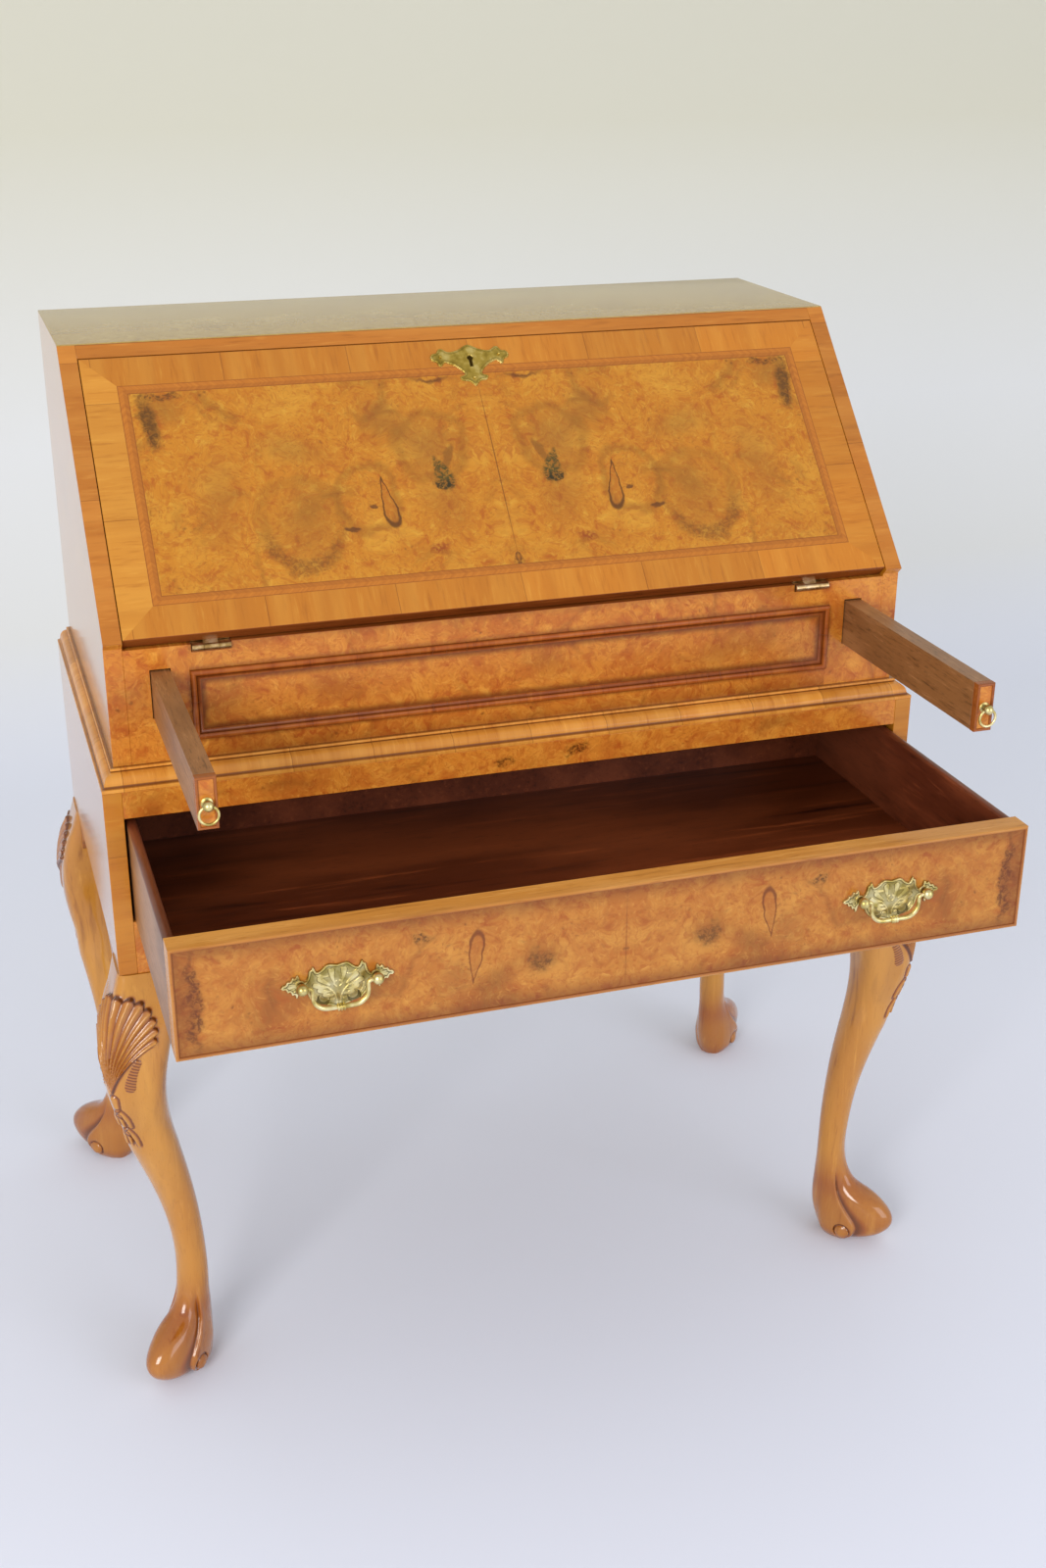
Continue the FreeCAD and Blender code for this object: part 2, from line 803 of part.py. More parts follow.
def drawer_side():
    """Right drawer side."""
    return box(drawer_half - drawer_side_thick, drawer_half, drawer_inner_face, drawer_rear,
               drawer_low, drawer_high - drawer_side_drop)


def drawer_back():
    """Drawer back between the sides."""
    half = drawer_half - drawer_side_thick
    low = drawer_low + drawer_bottom_rise
    return box(-half, half, drawer_rear - drawer_side_thick, drawer_rear,
               low, drawer_high - drawer_back_drop)


def drawer_bottom():
    """Drawer bottom between the sides, from the front to the back."""
    half = drawer_half - drawer_side_thick
    low = drawer_low + drawer_bottom_rise
    return box(-half, half, drawer_inner_face, drawer_rear - drawer_side_thick,
               low, low + drawer_bottom_thick)


# Drawer handles

def handle_plate():
    """Right handle's plate, a shield with a leaf wing each side; its outline is in shares of its width."""
    half = [(0, 0.202), (0.076, 0.215), (0.109, 0.202), (0.141, 0.172), (0.179, 0.157), (0.196, 0.179)]
    half += [(0.215, 0.213), (0.228, 0.189), (0.248, 0.176), (0.257, 0.136), (0.277, 0.087), (0.304, 0.072)]
    half += [(0.328, 0.089), (0.337, 0.13), (0.354, 0.15), (0.372, 0.126), (0.393, 0.137), (0.413, 0.104)]
    half += [(0.439, 0.102), (0.457, 0.076), (0.478, 0.072), (0.5, 0.043), (0.478, 0.024), (0.457, 0.024)]
    half += [(0.44, -0.007), (0.417, -0.004), (0.402, -0.039), (0.38, -0.035), (0.367, -0.076), (0.35, -0.05)]
    half += [(0.337, -0.005), (0.31, 0.015), (0.283, -0.005), (0.267, -0.054), (0.25, -0.098)]
    half += [(0.212, -0.141), (0.152, -0.174), (0.087, -0.185), (0, -0.217)]
    outline = half + [(-x, z) for x, z in reversed(half[1:-1])]
    centre = handle_spacing / 2
    points = [V(centre + x * plate_width, drawer_face, handle_z + z * plate_width) for x, z in outline]
    return prism(points, V(0, -plate_thick, 0))


def bail_pivot_y():
    """Depth of the line the bails swing about."""
    return drawer_face - plate_thick - post_length


def handle_posts():
    """Both ball-headed posts of both handles, bored for the bails' ends."""
    posts = []
    y = bail_pivot_y()
    for handle, side in ((1, 1), (1, -1), (-1, 1), (-1, -1)):
        x = handle * handle_spacing / 2 + side * post_spacing / 2
        stem = cylinder(post_radius, post_length, V(x, y, post_z), V(0, 1, 0))
        ball = Part.makeSphere(post_ball_radius, V(x, y, post_z))
        hole = cylinder(bail_wire + bail_clearance, 4 * post_ball_radius,
                        V(x - 2 * post_ball_radius, y, post_z), V(1, 0, 0))
        posts.append(stem.fuse(ball).cut(hole))
    return Part.makeCompound(posts)


def bail():
    """Right handle's hanging bail: bar ends in the posts, shoulders, a dropped loop and a collar."""
    y = bail_pivot_y()
    middle = handle_spacing / 2
    end = post_spacing / 2 + bail_end_length / 2
    low = post_z - bail_drop
    turn = bail_shoulder
    corner = bail_corner
    root = math.sqrt(0.5)

    def at(x, z):
        return V(middle + x, y, z)

    half = bail_half_width
    edges = [Part.LineSegment(at(-end, post_z), at(-half - turn, post_z)).toShape()]
    bend = at(-half - turn + turn * root, post_z - turn + turn * root)
    edges.append(Part.Arc(at(-half - turn, post_z), bend, at(-half, post_z - turn)).toShape())
    edges.append(Part.LineSegment(at(-half, post_z - turn), at(-half, low + corner)).toShape())
    bend = at(-half + corner - corner * root, low + corner - corner * root)
    edges.append(Part.Arc(at(-half, low + corner), bend, at(-half + corner, low)).toShape())
    edges.append(Part.LineSegment(at(-half + corner, low), at(half - corner, low)).toShape())
    bend = at(half - corner + corner * root, low + corner - corner * root)
    edges.append(Part.Arc(at(half - corner, low), bend, at(half, low + corner)).toShape())
    edges.append(Part.LineSegment(at(half, low + corner), at(half, post_z - turn)).toShape())
    bend = at(half + turn - turn * root, post_z - turn + turn * root)
    edges.append(Part.Arc(at(half, post_z - turn), bend, at(half + turn, post_z)).toShape())
    edges.append(Part.LineSegment(at(half + turn, post_z), at(end, post_z)).toShape())
    path = Part.Wire(edges)
    section = Part.Wire([Part.makeCircle(bail_wire, at(-end, post_z), V(1, 0, 0))])
    wire = path.makePipeShell([section], True, False)
    start = at(-bail_collar_length / 2, low)
    return wire.fuse(cylinder(bail_collar_radius, bail_collar_length, start, V(1, 0, 0)))


# Fitted interior

def nest_shelf():
    """Shelf over the small drawer, between the case sides."""
    return box(-upper_inner, upper_inner, nest_front, back_face, shelf_low, shelf_low + nest_board)


def nest_dividers():
    """Upright dividers of the pigeonholes, and the two beside the small drawer."""
    low = shelf_low + nest_board
    pitch = 2 * upper_inner / pigeonholes
    boards = []
    for step in range(1, pigeonholes):
        x = -upper_inner + step * pitch
        boards.append(box(x - nest_board / 2, x + nest_board / 2, nest_front, back_face, low, top_under))
    inner = small_drawer_width / 2 + small_gap
    for x in (inner, -inner - nest_board):
        boards.append(box(x, x + nest_board, nest_front, back_face, bed_z, shelf_low))
    return Part.makeCompound(boards)


def small_drawer_front():
    """Front of the small drawer."""
    half = small_drawer_width / 2
    return box(-half, half, nest_front, nest_front + small_front_thick,
               bed_z + small_gap, shelf_low - small_gap)


def small_drawer_tray():
    """Open tray behind the small drawer's front."""
    half = small_drawer_width / 2
    start = nest_front + small_front_thick
    end = back_face - small_drawer_back_room
    low = bed_z + small_gap
    high = shelf_low - 4 * small_gap
    tray = box(-half, half, start, end, low, high)
    hollow = box(small_wall - half, half - small_wall, start, end - small_wall, low + small_bottom, high)
    return tray.cut(hollow)


def small_drawer_knob():
    """Turned knob of the small drawer."""
    z = bed_z + small_drawer_height / 2
    r = knob_radius
    outline = [(0, 0), (0.55 * r, 0), (0.4 * r, 0.4 * knob_length), (r, 0.65 * knob_length)]
    outline += [(r, 0.8 * knob_length), (0.6 * r, knob_length), (0, knob_length)]
    points = [V(a, nest_front - b, z) for a, b in outline]
    face = Part.Face(Part.makePolygon(points + [points[0]]))
    return face.revolve(V(0, nest_front, z), V(0, 1, 0), 360)


def build():
    """Every node by name, in the modelling frame."""
    nodes = {}
    side = upper_side()
    nodes["upper_side_right"] = side
    nodes["upper_side_left"] = mirrored(side)
    nodes["top_board"] = top_board()
    nodes["upper_back"] = box(-upper_inner, upper_inner, back_face, case_depth, waist_z, top_under)
    nodes["upper_bottom"] = box(-upper_inner, upper_inner, front_thick, back_face,
                                waist_z, waist_z + upper_bottom_thick)
    nodes["writing_bed"] = writing_bed()
    nodes["frieze_board"] = frieze_board()
    nodes["frieze_frame"] = frieze_frame()
    stile = loper_stile()
    nodes["loper_stile_right"] = stile
    nodes["loper_stile_left"] = mirrored(stile)
    nodes["loper_channels"] = pair(loper_channel())
    nodes["waist_moulding"] = waist_moulding()
    nodes["strike_plate"] = strike_plate()
    nodes["hinge_case_leaves"] = pair(case_leaf())
    nodes["hinge_pins"] = pair(hinge_pin())

    nodes["fall_panel"] = fall_panel()
    nodes["fall_leather"] = on_slope(leather_block())
    nodes["fall_lock_case"] = lock_case()
    nodes["fall_lock_bolt"] = lock_bolt()
    nodes["fall_escutcheon"] = escutcheon()
    nodes["escutcheon_pins"] = escutcheon_pins()
    nodes["hinge_fall_leaves"] = pair(fall_leaf())

    for name, shape in (("loper", loper_bar()), ("loper_cap", loper_cap()), ("loper_ring", pull_ring())):
        nodes[name + "_right"] = shape
        nodes[name + "_left"] = mirrored(shape)
    for side, hand in (("right", 1), ("left", -1)):
        nodes["loper_post_" + side] = pull_post(hand)

    side = lower_side()
    behind_rail = lower_front + rail_thick
    nodes["lower_side_right"] = side
    nodes["lower_side_left"] = mirrored(side)
    nodes["lower_top"] = box(-lower_inner, lower_inner, behind_rail, back_face,
                             waist_z - lower_top_thick, waist_z)
    nodes["lower_back"] = box(-lower_inner, lower_inner, back_face, case_depth, case_bottom, waist_z)
    nodes["drawer_top_rail"] = box(-lower_inner, lower_inner, lower_front, behind_rail,
                                   opening_top, waist_z)
    nodes["bottom_rail"] = box(-lower_inner, lower_inner, lower_front, behind_rail,
                               case_bottom, opening_bottom)
    nodes["drawer_runners"] = pair(drawer_runner())
    nodes["drawer_kickers"] = pair(drawer_kicker())
    nodes["corner_blocks"] = corner_blocks()
    front_leg = leg((-front_foot_inward, front_foot_forward))
    back_leg = at_back(leg((back_foot_outward, 0.0)))
    nodes["leg_front_right"] = front_leg
    nodes["leg_front_left"] = mirrored(leg((-front_left_foot_inward, front_left_foot_forward)))
    nodes["leg_back_right"] = back_leg
    nodes["leg_back_left"] = mirrored(back_leg)
    corner = Part.makeCompound(knee_brackets())
    nodes["knee_brackets"] = Part.makeCompound(pair(corner).Solids + pair(at_back(corner)).Solids)

    side = drawer_side()
    nodes["drawer_front"] = drawer_front()
    nodes["drawer_cock_beads"] = drawer_beads()
    nodes["drawer_side_right"] = side
    nodes["drawer_side_left"] = mirrored(side)
    nodes["drawer_back"] = drawer_back()
    nodes["drawer_bottom"] = drawer_bottom()
    nodes["handle_plates"] = pair(handle_plate())
    nodes["handle_posts"] = handle_posts()
    swing = bail()
    nodes["handle_bail_right"] = swing
    nodes["handle_bail_left"] = mirrored(swing)

    nodes["pigeonhole_shelf"] = nest_shelf()
    nodes["pigeonhole_dividers"] = nest_dividers()
    nodes["small_drawer_front"] = small_drawer_front()
    nodes["small_drawer_tray"] = small_drawer_tray()
    nodes["small_drawer_knob"] = small_drawer_knob()
    return nodes


def origin_shift(nodes):
    """The move that puts the middle of the whole desk's footprint at the origin."""
    boxes = [shape.optimalBoundingBox() for shape in nodes.values()]
    low = min(b.YMin for b in boxes)
    high = max(b.YMax for b in boxes)
    return V(0, -(low + high) / 2, 0)


def main():
    """Build every piece, move it to the desk's own frame and write it."""
    os.makedirs("parts", exist_ok=True)
    nodes = build()
    shift = origin_shift(nodes)
    for name, shape in nodes.items():
        shape.translate(shift)
        shape.exportStep("parts/" + name + ".step")
    print("pieces", len(nodes), "moved back by", round(shift.y, 4))
    return nodes, shift


placed_nodes, placed_shift = main()
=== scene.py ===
import logging
import math
from dataclasses import dataclass
from enum import Enum, IntEnum
from typing import Callable, Optional, Sequence, Union

import bmesh
import bpy
import numpy as np
from mathutils import Matrix, Vector


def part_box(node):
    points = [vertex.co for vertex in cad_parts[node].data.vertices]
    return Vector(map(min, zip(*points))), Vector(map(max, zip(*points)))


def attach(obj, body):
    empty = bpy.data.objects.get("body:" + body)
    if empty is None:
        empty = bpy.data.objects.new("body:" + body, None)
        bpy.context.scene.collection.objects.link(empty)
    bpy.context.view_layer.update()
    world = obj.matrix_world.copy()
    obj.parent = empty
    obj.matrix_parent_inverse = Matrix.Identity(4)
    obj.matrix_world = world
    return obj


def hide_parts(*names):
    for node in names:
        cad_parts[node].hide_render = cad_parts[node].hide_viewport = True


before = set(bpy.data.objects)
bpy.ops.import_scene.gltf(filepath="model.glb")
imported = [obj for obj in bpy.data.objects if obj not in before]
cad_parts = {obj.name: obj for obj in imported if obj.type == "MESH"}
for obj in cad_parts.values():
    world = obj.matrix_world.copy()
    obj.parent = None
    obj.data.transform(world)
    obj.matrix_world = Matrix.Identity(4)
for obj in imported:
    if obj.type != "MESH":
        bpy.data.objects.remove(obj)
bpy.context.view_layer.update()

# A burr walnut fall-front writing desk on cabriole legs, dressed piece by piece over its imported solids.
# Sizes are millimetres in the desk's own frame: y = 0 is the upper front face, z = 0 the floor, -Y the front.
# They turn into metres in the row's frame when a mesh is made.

LOG = logging.getLogger("desk")
MM = 0.001
Array = np.ndarray
MERGE = 2e-6
BEVEL_STEPS = 3
BEVEL_ANGLE = 30.0
FORWARD = (0.0, -1.0, 0.0)
DIAGONAL = math.pi / 4
ROOT = math.sqrt(0.5)
Pair = tuple[float, float]
Triple = tuple[float, float, float]
Place = Callable[[Array, Array, Array], Array]


@dataclass(frozen=True)
class DeskSizes:
    """The main places of the desk, as its solids have them."""

    case_bottom: float = 454.5
    waist: float = 634.0
    bed: float = 755.5
    top: float = 982.0
    top_under: float = 960.0
    upper_half: float = 380.5
    upper_inner: float = 364.0
    lower_half: float = 394.0
    lower_inner: float = 377.0
    lower_front: float = -22.0
    depth: float = 407.0
    top_front: float = 200.0
    foot_y: float = -6.0
    foot_z: float = 763.5
    rail_back: float = -2.0
    opening_top: float = 608.5
    opening_bottom: float = 507.0

    @property
    def slope_length(self) -> float:
        """Length of the sloping edge from its foot to the top."""
        return math.hypot(self.top_front - self.foot_y, self.top - self.foot_z)

    @property
    def slope_cos(self) -> float:
        """Cosine of the slope above the level."""
        return (self.top_front - self.foot_y) / self.slope_length

    @property
    def slope_sin(self) -> float:
        """Sine of the slope above the level."""
        return (self.top - self.foot_z) / self.slope_length

    @property
    def lower_middle(self) -> float:
        """Depth of the lower case's middle."""
        return (self.lower_front + self.depth) / 2

    @property
    def slope_out(self) -> Triple:
        """Direction out of the slope."""
        return (0.0, -self.slope_sin, self.slope_cos)


DESK = DeskSizes()
SHIFT_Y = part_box("upper_back")[1].y / MM - DESK.depth


class Axis(Enum):
    """The desk's axes."""

    X = 0
    Y = 1
    Z = 2


class Hand(Enum):
    """Left or right of the desk, as a sign on x."""

    LEFT = -1
    RIGHT = 1


def on_slope(x: Array, u: Array, out: Array) -> Array:
    """Points of the fall's plane: x across, u up the slope from its foot, out square to it.

    Args:
        x: Places across the desk.
        u: Distances up the slope.
        out: Distances out of the slope's plane.

    Returns:
        Points (..., 3) in the desk's frame.
    """
    y = DESK.foot_y + u * DESK.slope_cos - out * DESK.slope_sin
    z = DESK.foot_z + u * DESK.slope_sin + out * DESK.slope_cos
    return np.stack(np.broadcast_arrays(x, y, z), -1)


def on_front(face_y: float) -> Place:
    """A placing for upright fronts.

    Args:
        face_y: Depth of the front's face.

    Returns:
        A function that puts (x, z, out) on that face.
    """
    def place(x: Array, z: Array, out: Array) -> Array:
        """Put x across, z up and out towards the front."""
        return np.stack(np.broadcast_arrays(x, face_y - out, z), -1)
    return place


def smooth(low: float, high: float, value: Array) -> Array:
    """A soft step: 0 below low, 1 above high, 3t^2 - 2t^3 between (low may exceed high).

    Args:
        low: Where the step starts.
        high: Where it ends.
        value: The values to step.

    Returns:
        Values from 0 to 1.
    """
    t = np.clip((value - low) / (high - low), 0.0, 1.0)
    return t * t * (3.0 - 2.0 * t)


def spline(knots: Array, values: Array, at: Array) -> Array:
    """A natural cubic spline through rising knots, each column of values on its own.

    Args:
        knots: Rising places (n,).
        values: Values there (n, ...).
        at: Places to read (m,).

    Returns:
        The spline's values (m, ...).
    """
    count = len(knots)
    flat = values.reshape(count, -1)
    step = np.diff(knots)
    system = np.eye(count)
    inner = np.arange(1, count - 1)
    system[inner, inner - 1] = step[:-1]
    system[inner, inner] = 2.0 * (step[:-1] + step[1:])
    system[inner, inner + 1] = step[1:]
    slope = np.diff(flat, axis=0) / step[:, None]
    right = np.zeros_like(flat)
    right[1:-1] = 6.0 * np.diff(slope, axis=0)
    bend = np.linalg.solve(system, right)
    span = np.clip(np.searchsorted(knots, at, side="right") - 1, 0, count - 2)
    width = step[span][:, None]
    before = (at - knots[span])[:, None]
    after = width - before
    made = (bend[span] * after ** 3 + bend[span + 1] * before ** 3) / (6.0 * width)
    made += (flat[span] / width - bend[span] * width / 6.0) * after
    made += (flat[span + 1] / width - bend[span + 1] * width / 6.0) * before
    return made.reshape((len(at),) + values.shape[1:])


def run_length(points: Array) -> Array:
    """Distance along a line of points, from its first.

    Args:
        points: The line (n, k).

    Returns:
        Distances (n,).
    """
    steps = np.linalg.norm(np.diff(points, axis=0), axis=1)
    return np.concatenate([[0.0], np.cumsum(steps)])


@dataclass
class Sheet:
    """One part of a piece's surface: points, their faces, their UV in metres and how hollow each lies."""

    points: Array
    faces: list[Array]
    uv: Array
    hollow: Array
    finish: int = 0


def grid(points: Array, uv: Optional[Array] = None, hollow: Optional[Array] = None, finish: int = 0,
         skip: Optional[Array] = None) -> Sheet:
    """A sheet of quads over a grid of points.

    Args:
        points: The grid (rows, columns, 3).
        uv: UV for each point in metres, or None for plain x and z.
        hollow: How hollow each point lies, 0 to 1.
        finish: Which of the piece's finishes it takes.
        skip: True for cells (rows - 1, columns - 1) that are left open.

    Returns:
        The sheet.
    """
    rows, cols = points.shape[:2]
    index = np.arange(rows * cols).reshape(rows, cols)
    quads = np.stack([index[:-1, :-1], index[:-1, 1:], index[1:, 1:], index[1:, :-1]], -1).reshape(-1, 4)
    if skip is not None:
        quads = quads[~skip.reshape(-1)]
    flat_uv = points[..., [0, 2]] * MM if uv is None else uv
    shade = np.zeros(rows * cols) if hollow is None else hollow.reshape(-1)
    return Sheet(points.reshape(-1, 3), [quads], flat_uv.reshape(-1, 2), shade, finish)


def polygon(points: Array, uv: Optional[Array] = None, finish: int = 0) -> Sheet:
    """A sheet of one flat face.

    Args:
        points: Its corners (n, 3).
        uv: UV for each corner in metres, or None for plain x and z.
        finish: Which of the piece's finishes it takes.

    Returns:
        The sheet.
    """
    flat_uv = points[:, [0, 2]] * MM if uv is None else uv
    return Sheet(points, [np.arange(len(points))[None]], flat_uv, np.zeros(len(points)), finish)


def prism(outline: Sequence[Pair], axis: Axis, low: float, high: float,
          edges: Optional[dict[int, int]] = None) -> list[Sheet]:
    """A flat outline pushed along an axis; each edge's UV runs along the edge and across the board.

    Args:
        outline: Corners in the two other axes, in order.
        axis: The axis to push along.
        low: Where the board starts.
        high: Where it ends.
        edges: Finish number for some of the edges.

    Returns:
        Its two ends and its edges.
    """
    flat = np.array(outline)
    others = [i for i in range(3) if i != axis.value]
    ends = np.empty((2, len(flat), 3))
    ends[:, :, others] = flat
    ends[0, :, axis.value] = low
    ends[1, :, axis.value] = high
    sheets = [polygon(ends[0]), polygon(ends[1])]
    for i in range(len(flat)):
        j = (i + 1) % len(flat)
        corners = np.stack([ends[0, i], ends[0, j], ends[1, j], ends[1, i]])
        length = np.linalg.norm(flat[j] - flat[i])
        uv = np.array([(0, low), (length, low), (length, high), (0, high)]) * MM
        sheets.append(polygon(corners, uv, (edges or {}).get(i, 0)))
    return sheets


def board(low: Sequence[float], high: Sequence[float]) -> list[Sheet]:
    """A plain board between two corners.

    Args:
        low: Its lowest corner.
        high: Its highest corner.

    Returns:
        Its sheets.
    """
    outline = [(low[0], low[1]), (high[0], low[1]), (high[0], high[1]), (low[0], high[1])]
    return prism(outline, Axis.Z, low[2], high[2])


def rim(x0: float, x1: float, v0: float, v1: float, profile: Array, place: Place, finish: int = 0,
        hollow: Optional[Array] = None) -> list[Sheet]:
    """A profile carried round a rectangle with mitred corners.

    Args:
        x0: Left edge of the rectangle.
        x1: Right edge.
        v0: Lower edge.
        v1: Upper edge.
        profile: (inward, out) points of the profile.
        place: Puts (x, v, out) in the desk's frame.
        finish: Which of the piece's finishes it takes.
        hollow: How hollow each profile point lies.

    Returns:
        One sheet for each of the four runs, UV along and across it.
    """
    inward, out = profile[:, 0], profile[:, 1]
    corners = [(x0, v0, 1, 1), (x1, v0, -1, 1), (x1, v1, -1, -1), (x0, v1, 1, -1)]
    lines = [(x + in_x * inward, v + in_v * inward) for x, v, in_x, in_v in corners]
    across = run_length(profile)
    sheets = []
    for i in range(4):
        first, second = lines[i], lines[(i + 1) % 4]
        points = np.stack([place(first[0], first[1], out), place(second[0], second[1], out)])
        along = np.stack([first[i % 2], second[i % 2]])
        uv = np.stack([along, np.broadcast_to(across, along.shape)], -1) * MM
        shade = None if hollow is None else np.broadcast_to(hollow, along.shape)
        sheets.append(grid(points, uv, shade, finish))
    return sheets


def lathe(profile: Array, centre: Sequence[float], axis: Sequence[float], hollow: Optional[Array] = None,
          turns: int = 40) -> Sheet:
    """A profile turned round an axis: point = centre + along * axis + radius * (cos a, sin a) square to it.

    Args:
        profile: (radius, along) points.
        centre: A point on the axis.
        axis: The axis's direction, of length 1.
        hollow: How hollow each profile point lies.
        turns: Steps round the axis.

    Returns:
        The turned sheet, its seam closed when doubles merge.
    """
    line = np.array(axis, float)
    side = np.cross(line, (0.0, 0.0, 1.0) if abs(line[2]) < 0.9 else (1.0, 0.0, 0.0))
    side /= np.linalg.norm(side)
    third = np.cross(line, side)
    angle = np.linspace(0.0, 2.0 * math.pi, turns + 1)
    spoke = np.cos(angle)[:, None] * side + np.sin(angle)[:, None] * third
    points = np.array(centre) + profile[None, :, 1:] * line + profile[None, :, :1] * spoke[:, None, :]
    shade = None if hollow is None else np.broadcast_to(hollow, points.shape[:2])
    return grid(points, hollow=shade)


def tube(path: Array, radius: Array, normal: Sequence[float], sides: int = 20) -> list[Sheet]:
    """A round bar along a flat path: point = path + r (cos a * across + sin a * normal).

    Args:
        path: Its middle line (n, 3), all in one plane.
        radius: Radius at each point (n,).
        normal: The plane's normal, of length 1.
        sides: Steps round the bar.

    Returns:
        The bar and, where the path is open, its two ends.
    """
    closed = np.allclose(path[0], path[-1])
    run = np.gradient(path, axis=0)
    if closed:
        run[0] = run[-1] = path[1] - path[-2]
    run /= np.linalg.norm(run, axis=1)[:, None]
    across = np.cross(run, normal)
    angle = np.linspace(0.0, 2.0 * math.pi, sides + 1)
    ring = np.cos(angle)[None, :, None] * across[:, None] + np.sin(angle)[None, :, None] * np.array(normal)
    points = path[:, None] + radius[:, None, None] * ring
    sheets = [grid(points)]
    if not closed:
        sheets += [polygon(points[0, :-1]), polygon(points[-1, :-1])]
    return sheets


def arc(centre: Pair, radius: float, start: float, end: float, steps: int = 10) -> Array:
    """Points of a circle's arc in a plane, from one bearing to another in degrees.

    Args:
        centre: Its middle.
        radius: Its radius.
        start: First bearing.
        end: Last bearing.
        steps: Number of points.

    Returns:
        Points (steps, 2).
    """
    angle = np.radians(np.linspace(start, end, steps))
    return np.stack([centre[0] + radius * np.cos(angle), centre[1] + radius * np.sin(angle)], -1)


def ridge(x: Array, z: Array, line: Sequence[Pair], width: Pair, steps: int = 40) -> Array:
    """A carved or cast rib along a smooth line: 1 on the line, falling as 1 - (d / w)^2 to 0 at its width.

    Args:
        x: Places across.
        z: Places up.
        line: A few points that the rib passes through.
        width: Half width at the line's start and at its end.
        steps: Points read from the line.

    Returns:
        Heights from 0 to 1, as x.
    """
    knots = np.array(line)
    t = np.linspace(0.0, 1.0, steps)
    at = spline(np.linspace(0.0, 1.0, len(knots)), knots, t)
    half = width[0] + (width[1] - width[0]) * t
    far = np.hypot(x[..., None] - at[:, 0], z[..., None] - at[:, 1]) / half
    return np.clip(1.0 - far.min(-1) ** 2, 0.0, 1.0)


def make_piece(name: str, sheets: Sequence[Sheet], finishes: Sequence["Finish"], body: str,
               replaces: Sequence[str] = (), bevel: float = 0.0, sharp: float = 35.0,
               facing: Optional[Sequence[float]] = None) -> bpy.types.Object:
    """Put sheets together as one piece that rides a body.

    Args:
        name: The piece's name.
        sheets: Its surface.
        finishes: Its finishes, by the sheets' numbers.
        body: The body it rides on.
        replaces: The solids it stands for.
        bevel: Width of its eased edges, or 0.
        sharp: Angle in degrees past which an edge stays crisp.
        facing: For an open sheet, the direction its faces look to.

    Returns:
        The piece.
    """
    points = np.concatenate([sheet.points for sheet in sheets])
    starts = np.cumsum([0] + [len(sheet.points) for sheet in sheets[:-1]])
    faces: list[list[int]] = []
    corners: list[Array] = []
    numbers: list[int] = []
    for sheet, start in zip(sheets, starts):
        for block in sheet.faces:
            faces.extend((block + start).tolist())
            corners.append(sheet.uv[block.reshape(-1)])
            numbers.extend([sheet.finish] * len(block))
    mesh = bpy.data.meshes.new(name)
    mesh.from_pydata(((points + (0.0, SHIFT_Y, 0.0)) * MM).tolist(), [], faces)
    layer = mesh.uv_layers.new(name="UVMap")
    layer.data.foreach_set("uv", np.concatenate(corners).astype(np.float32).reshape(-1))
    # The hollow attribute darkens the colour: patina on brass, staining on the veneers, and painted shade in
    # creases, grooves and along proud edges.
    shade = mesh.attributes.new("hollow", "FLOAT", "POINT")
    shade.data.foreach_set("value", np.concatenate([sheet.hollow for sheet in sheets]).astype(np.float32))
    mesh.polygons.foreach_set("material_index", numbers)
    work = bmesh.new()
    work.from_mesh(mesh)
    bmesh.ops.remove_doubles(work, verts=work.verts, dist=MERGE)
    bmesh.ops.recalc_face_normals(work, faces=work.faces)
    if facing is not None:
        total = sum((face.normal * face.calc_area() for face in work.faces), Vector())
        if total.dot(Vector(facing)) < 0:
            bmesh.ops.reverse_faces(work, faces=work.faces)
    work.to_mesh(mesh)
    work.free()
    mesh.polygons.foreach_set("use_smooth", np.ones(len(mesh.polygons), bool))
    mesh.set_sharp_from_angle(angle=math.radians(sharp))
    for finish in finishes:
        mesh.materials.append(finish.material())
    piece = bpy.data.objects.new(name, mesh)
    bpy.context.scene.collection.objects.link(piece)
    if bevel > 0:
        eased = piece.modifiers.new("eased_edges", "BEVEL")
        eased.width = bevel * MM
        eased.segments = BEVEL_STEPS
        eased.limit_method = "ANGLE"
        eased.angle_limit = math.radians(BEVEL_ANGLE)
        eased.harden_normals = True
    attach(piece, body)
    if replaces:
        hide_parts(*replaces)
    LOG.info("%s rides %s with %d faces", name, body, len(mesh.polygons))
    return piece


def dress(finish: "Finish", *nodes: str) -> None:
    """Give solids that stay on show a finish.

    Args:
        finish: The finish.
        nodes: The solids' names.
    """
    for name in nodes:
        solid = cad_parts[name]
        if not solid.material_slots:
            solid.data.materials.append(None)
        for place in solid.material_slots:
            place.material = finish.material()
        LOG.info("%s dressed as %s", name, finish.name)


def linear(code: str) -> tuple[float, float, float, float]:
    """An sRGB hex colour in linear light.

    Args:
        code: The colour as #RRGGBB.

    Returns:
        Red, green, blue and alpha.
    """
    parts = [int(code[i:i + 2], 16) / 255.0 for i in (1, 3, 5)]
    light = [c / 12.92 if c <= 0.04045 else ((c + 0.055) / 1.055) ** 2.4 for c in parts]
    return (light[0], light[1], light[2], 1.0)


Tree = bpy.types.NodeTree
Socket = Union[bpy.types.Node, bpy.types.NodeSocket, float, Sequence[float], str]
Look = tuple[Socket, Socket, float]


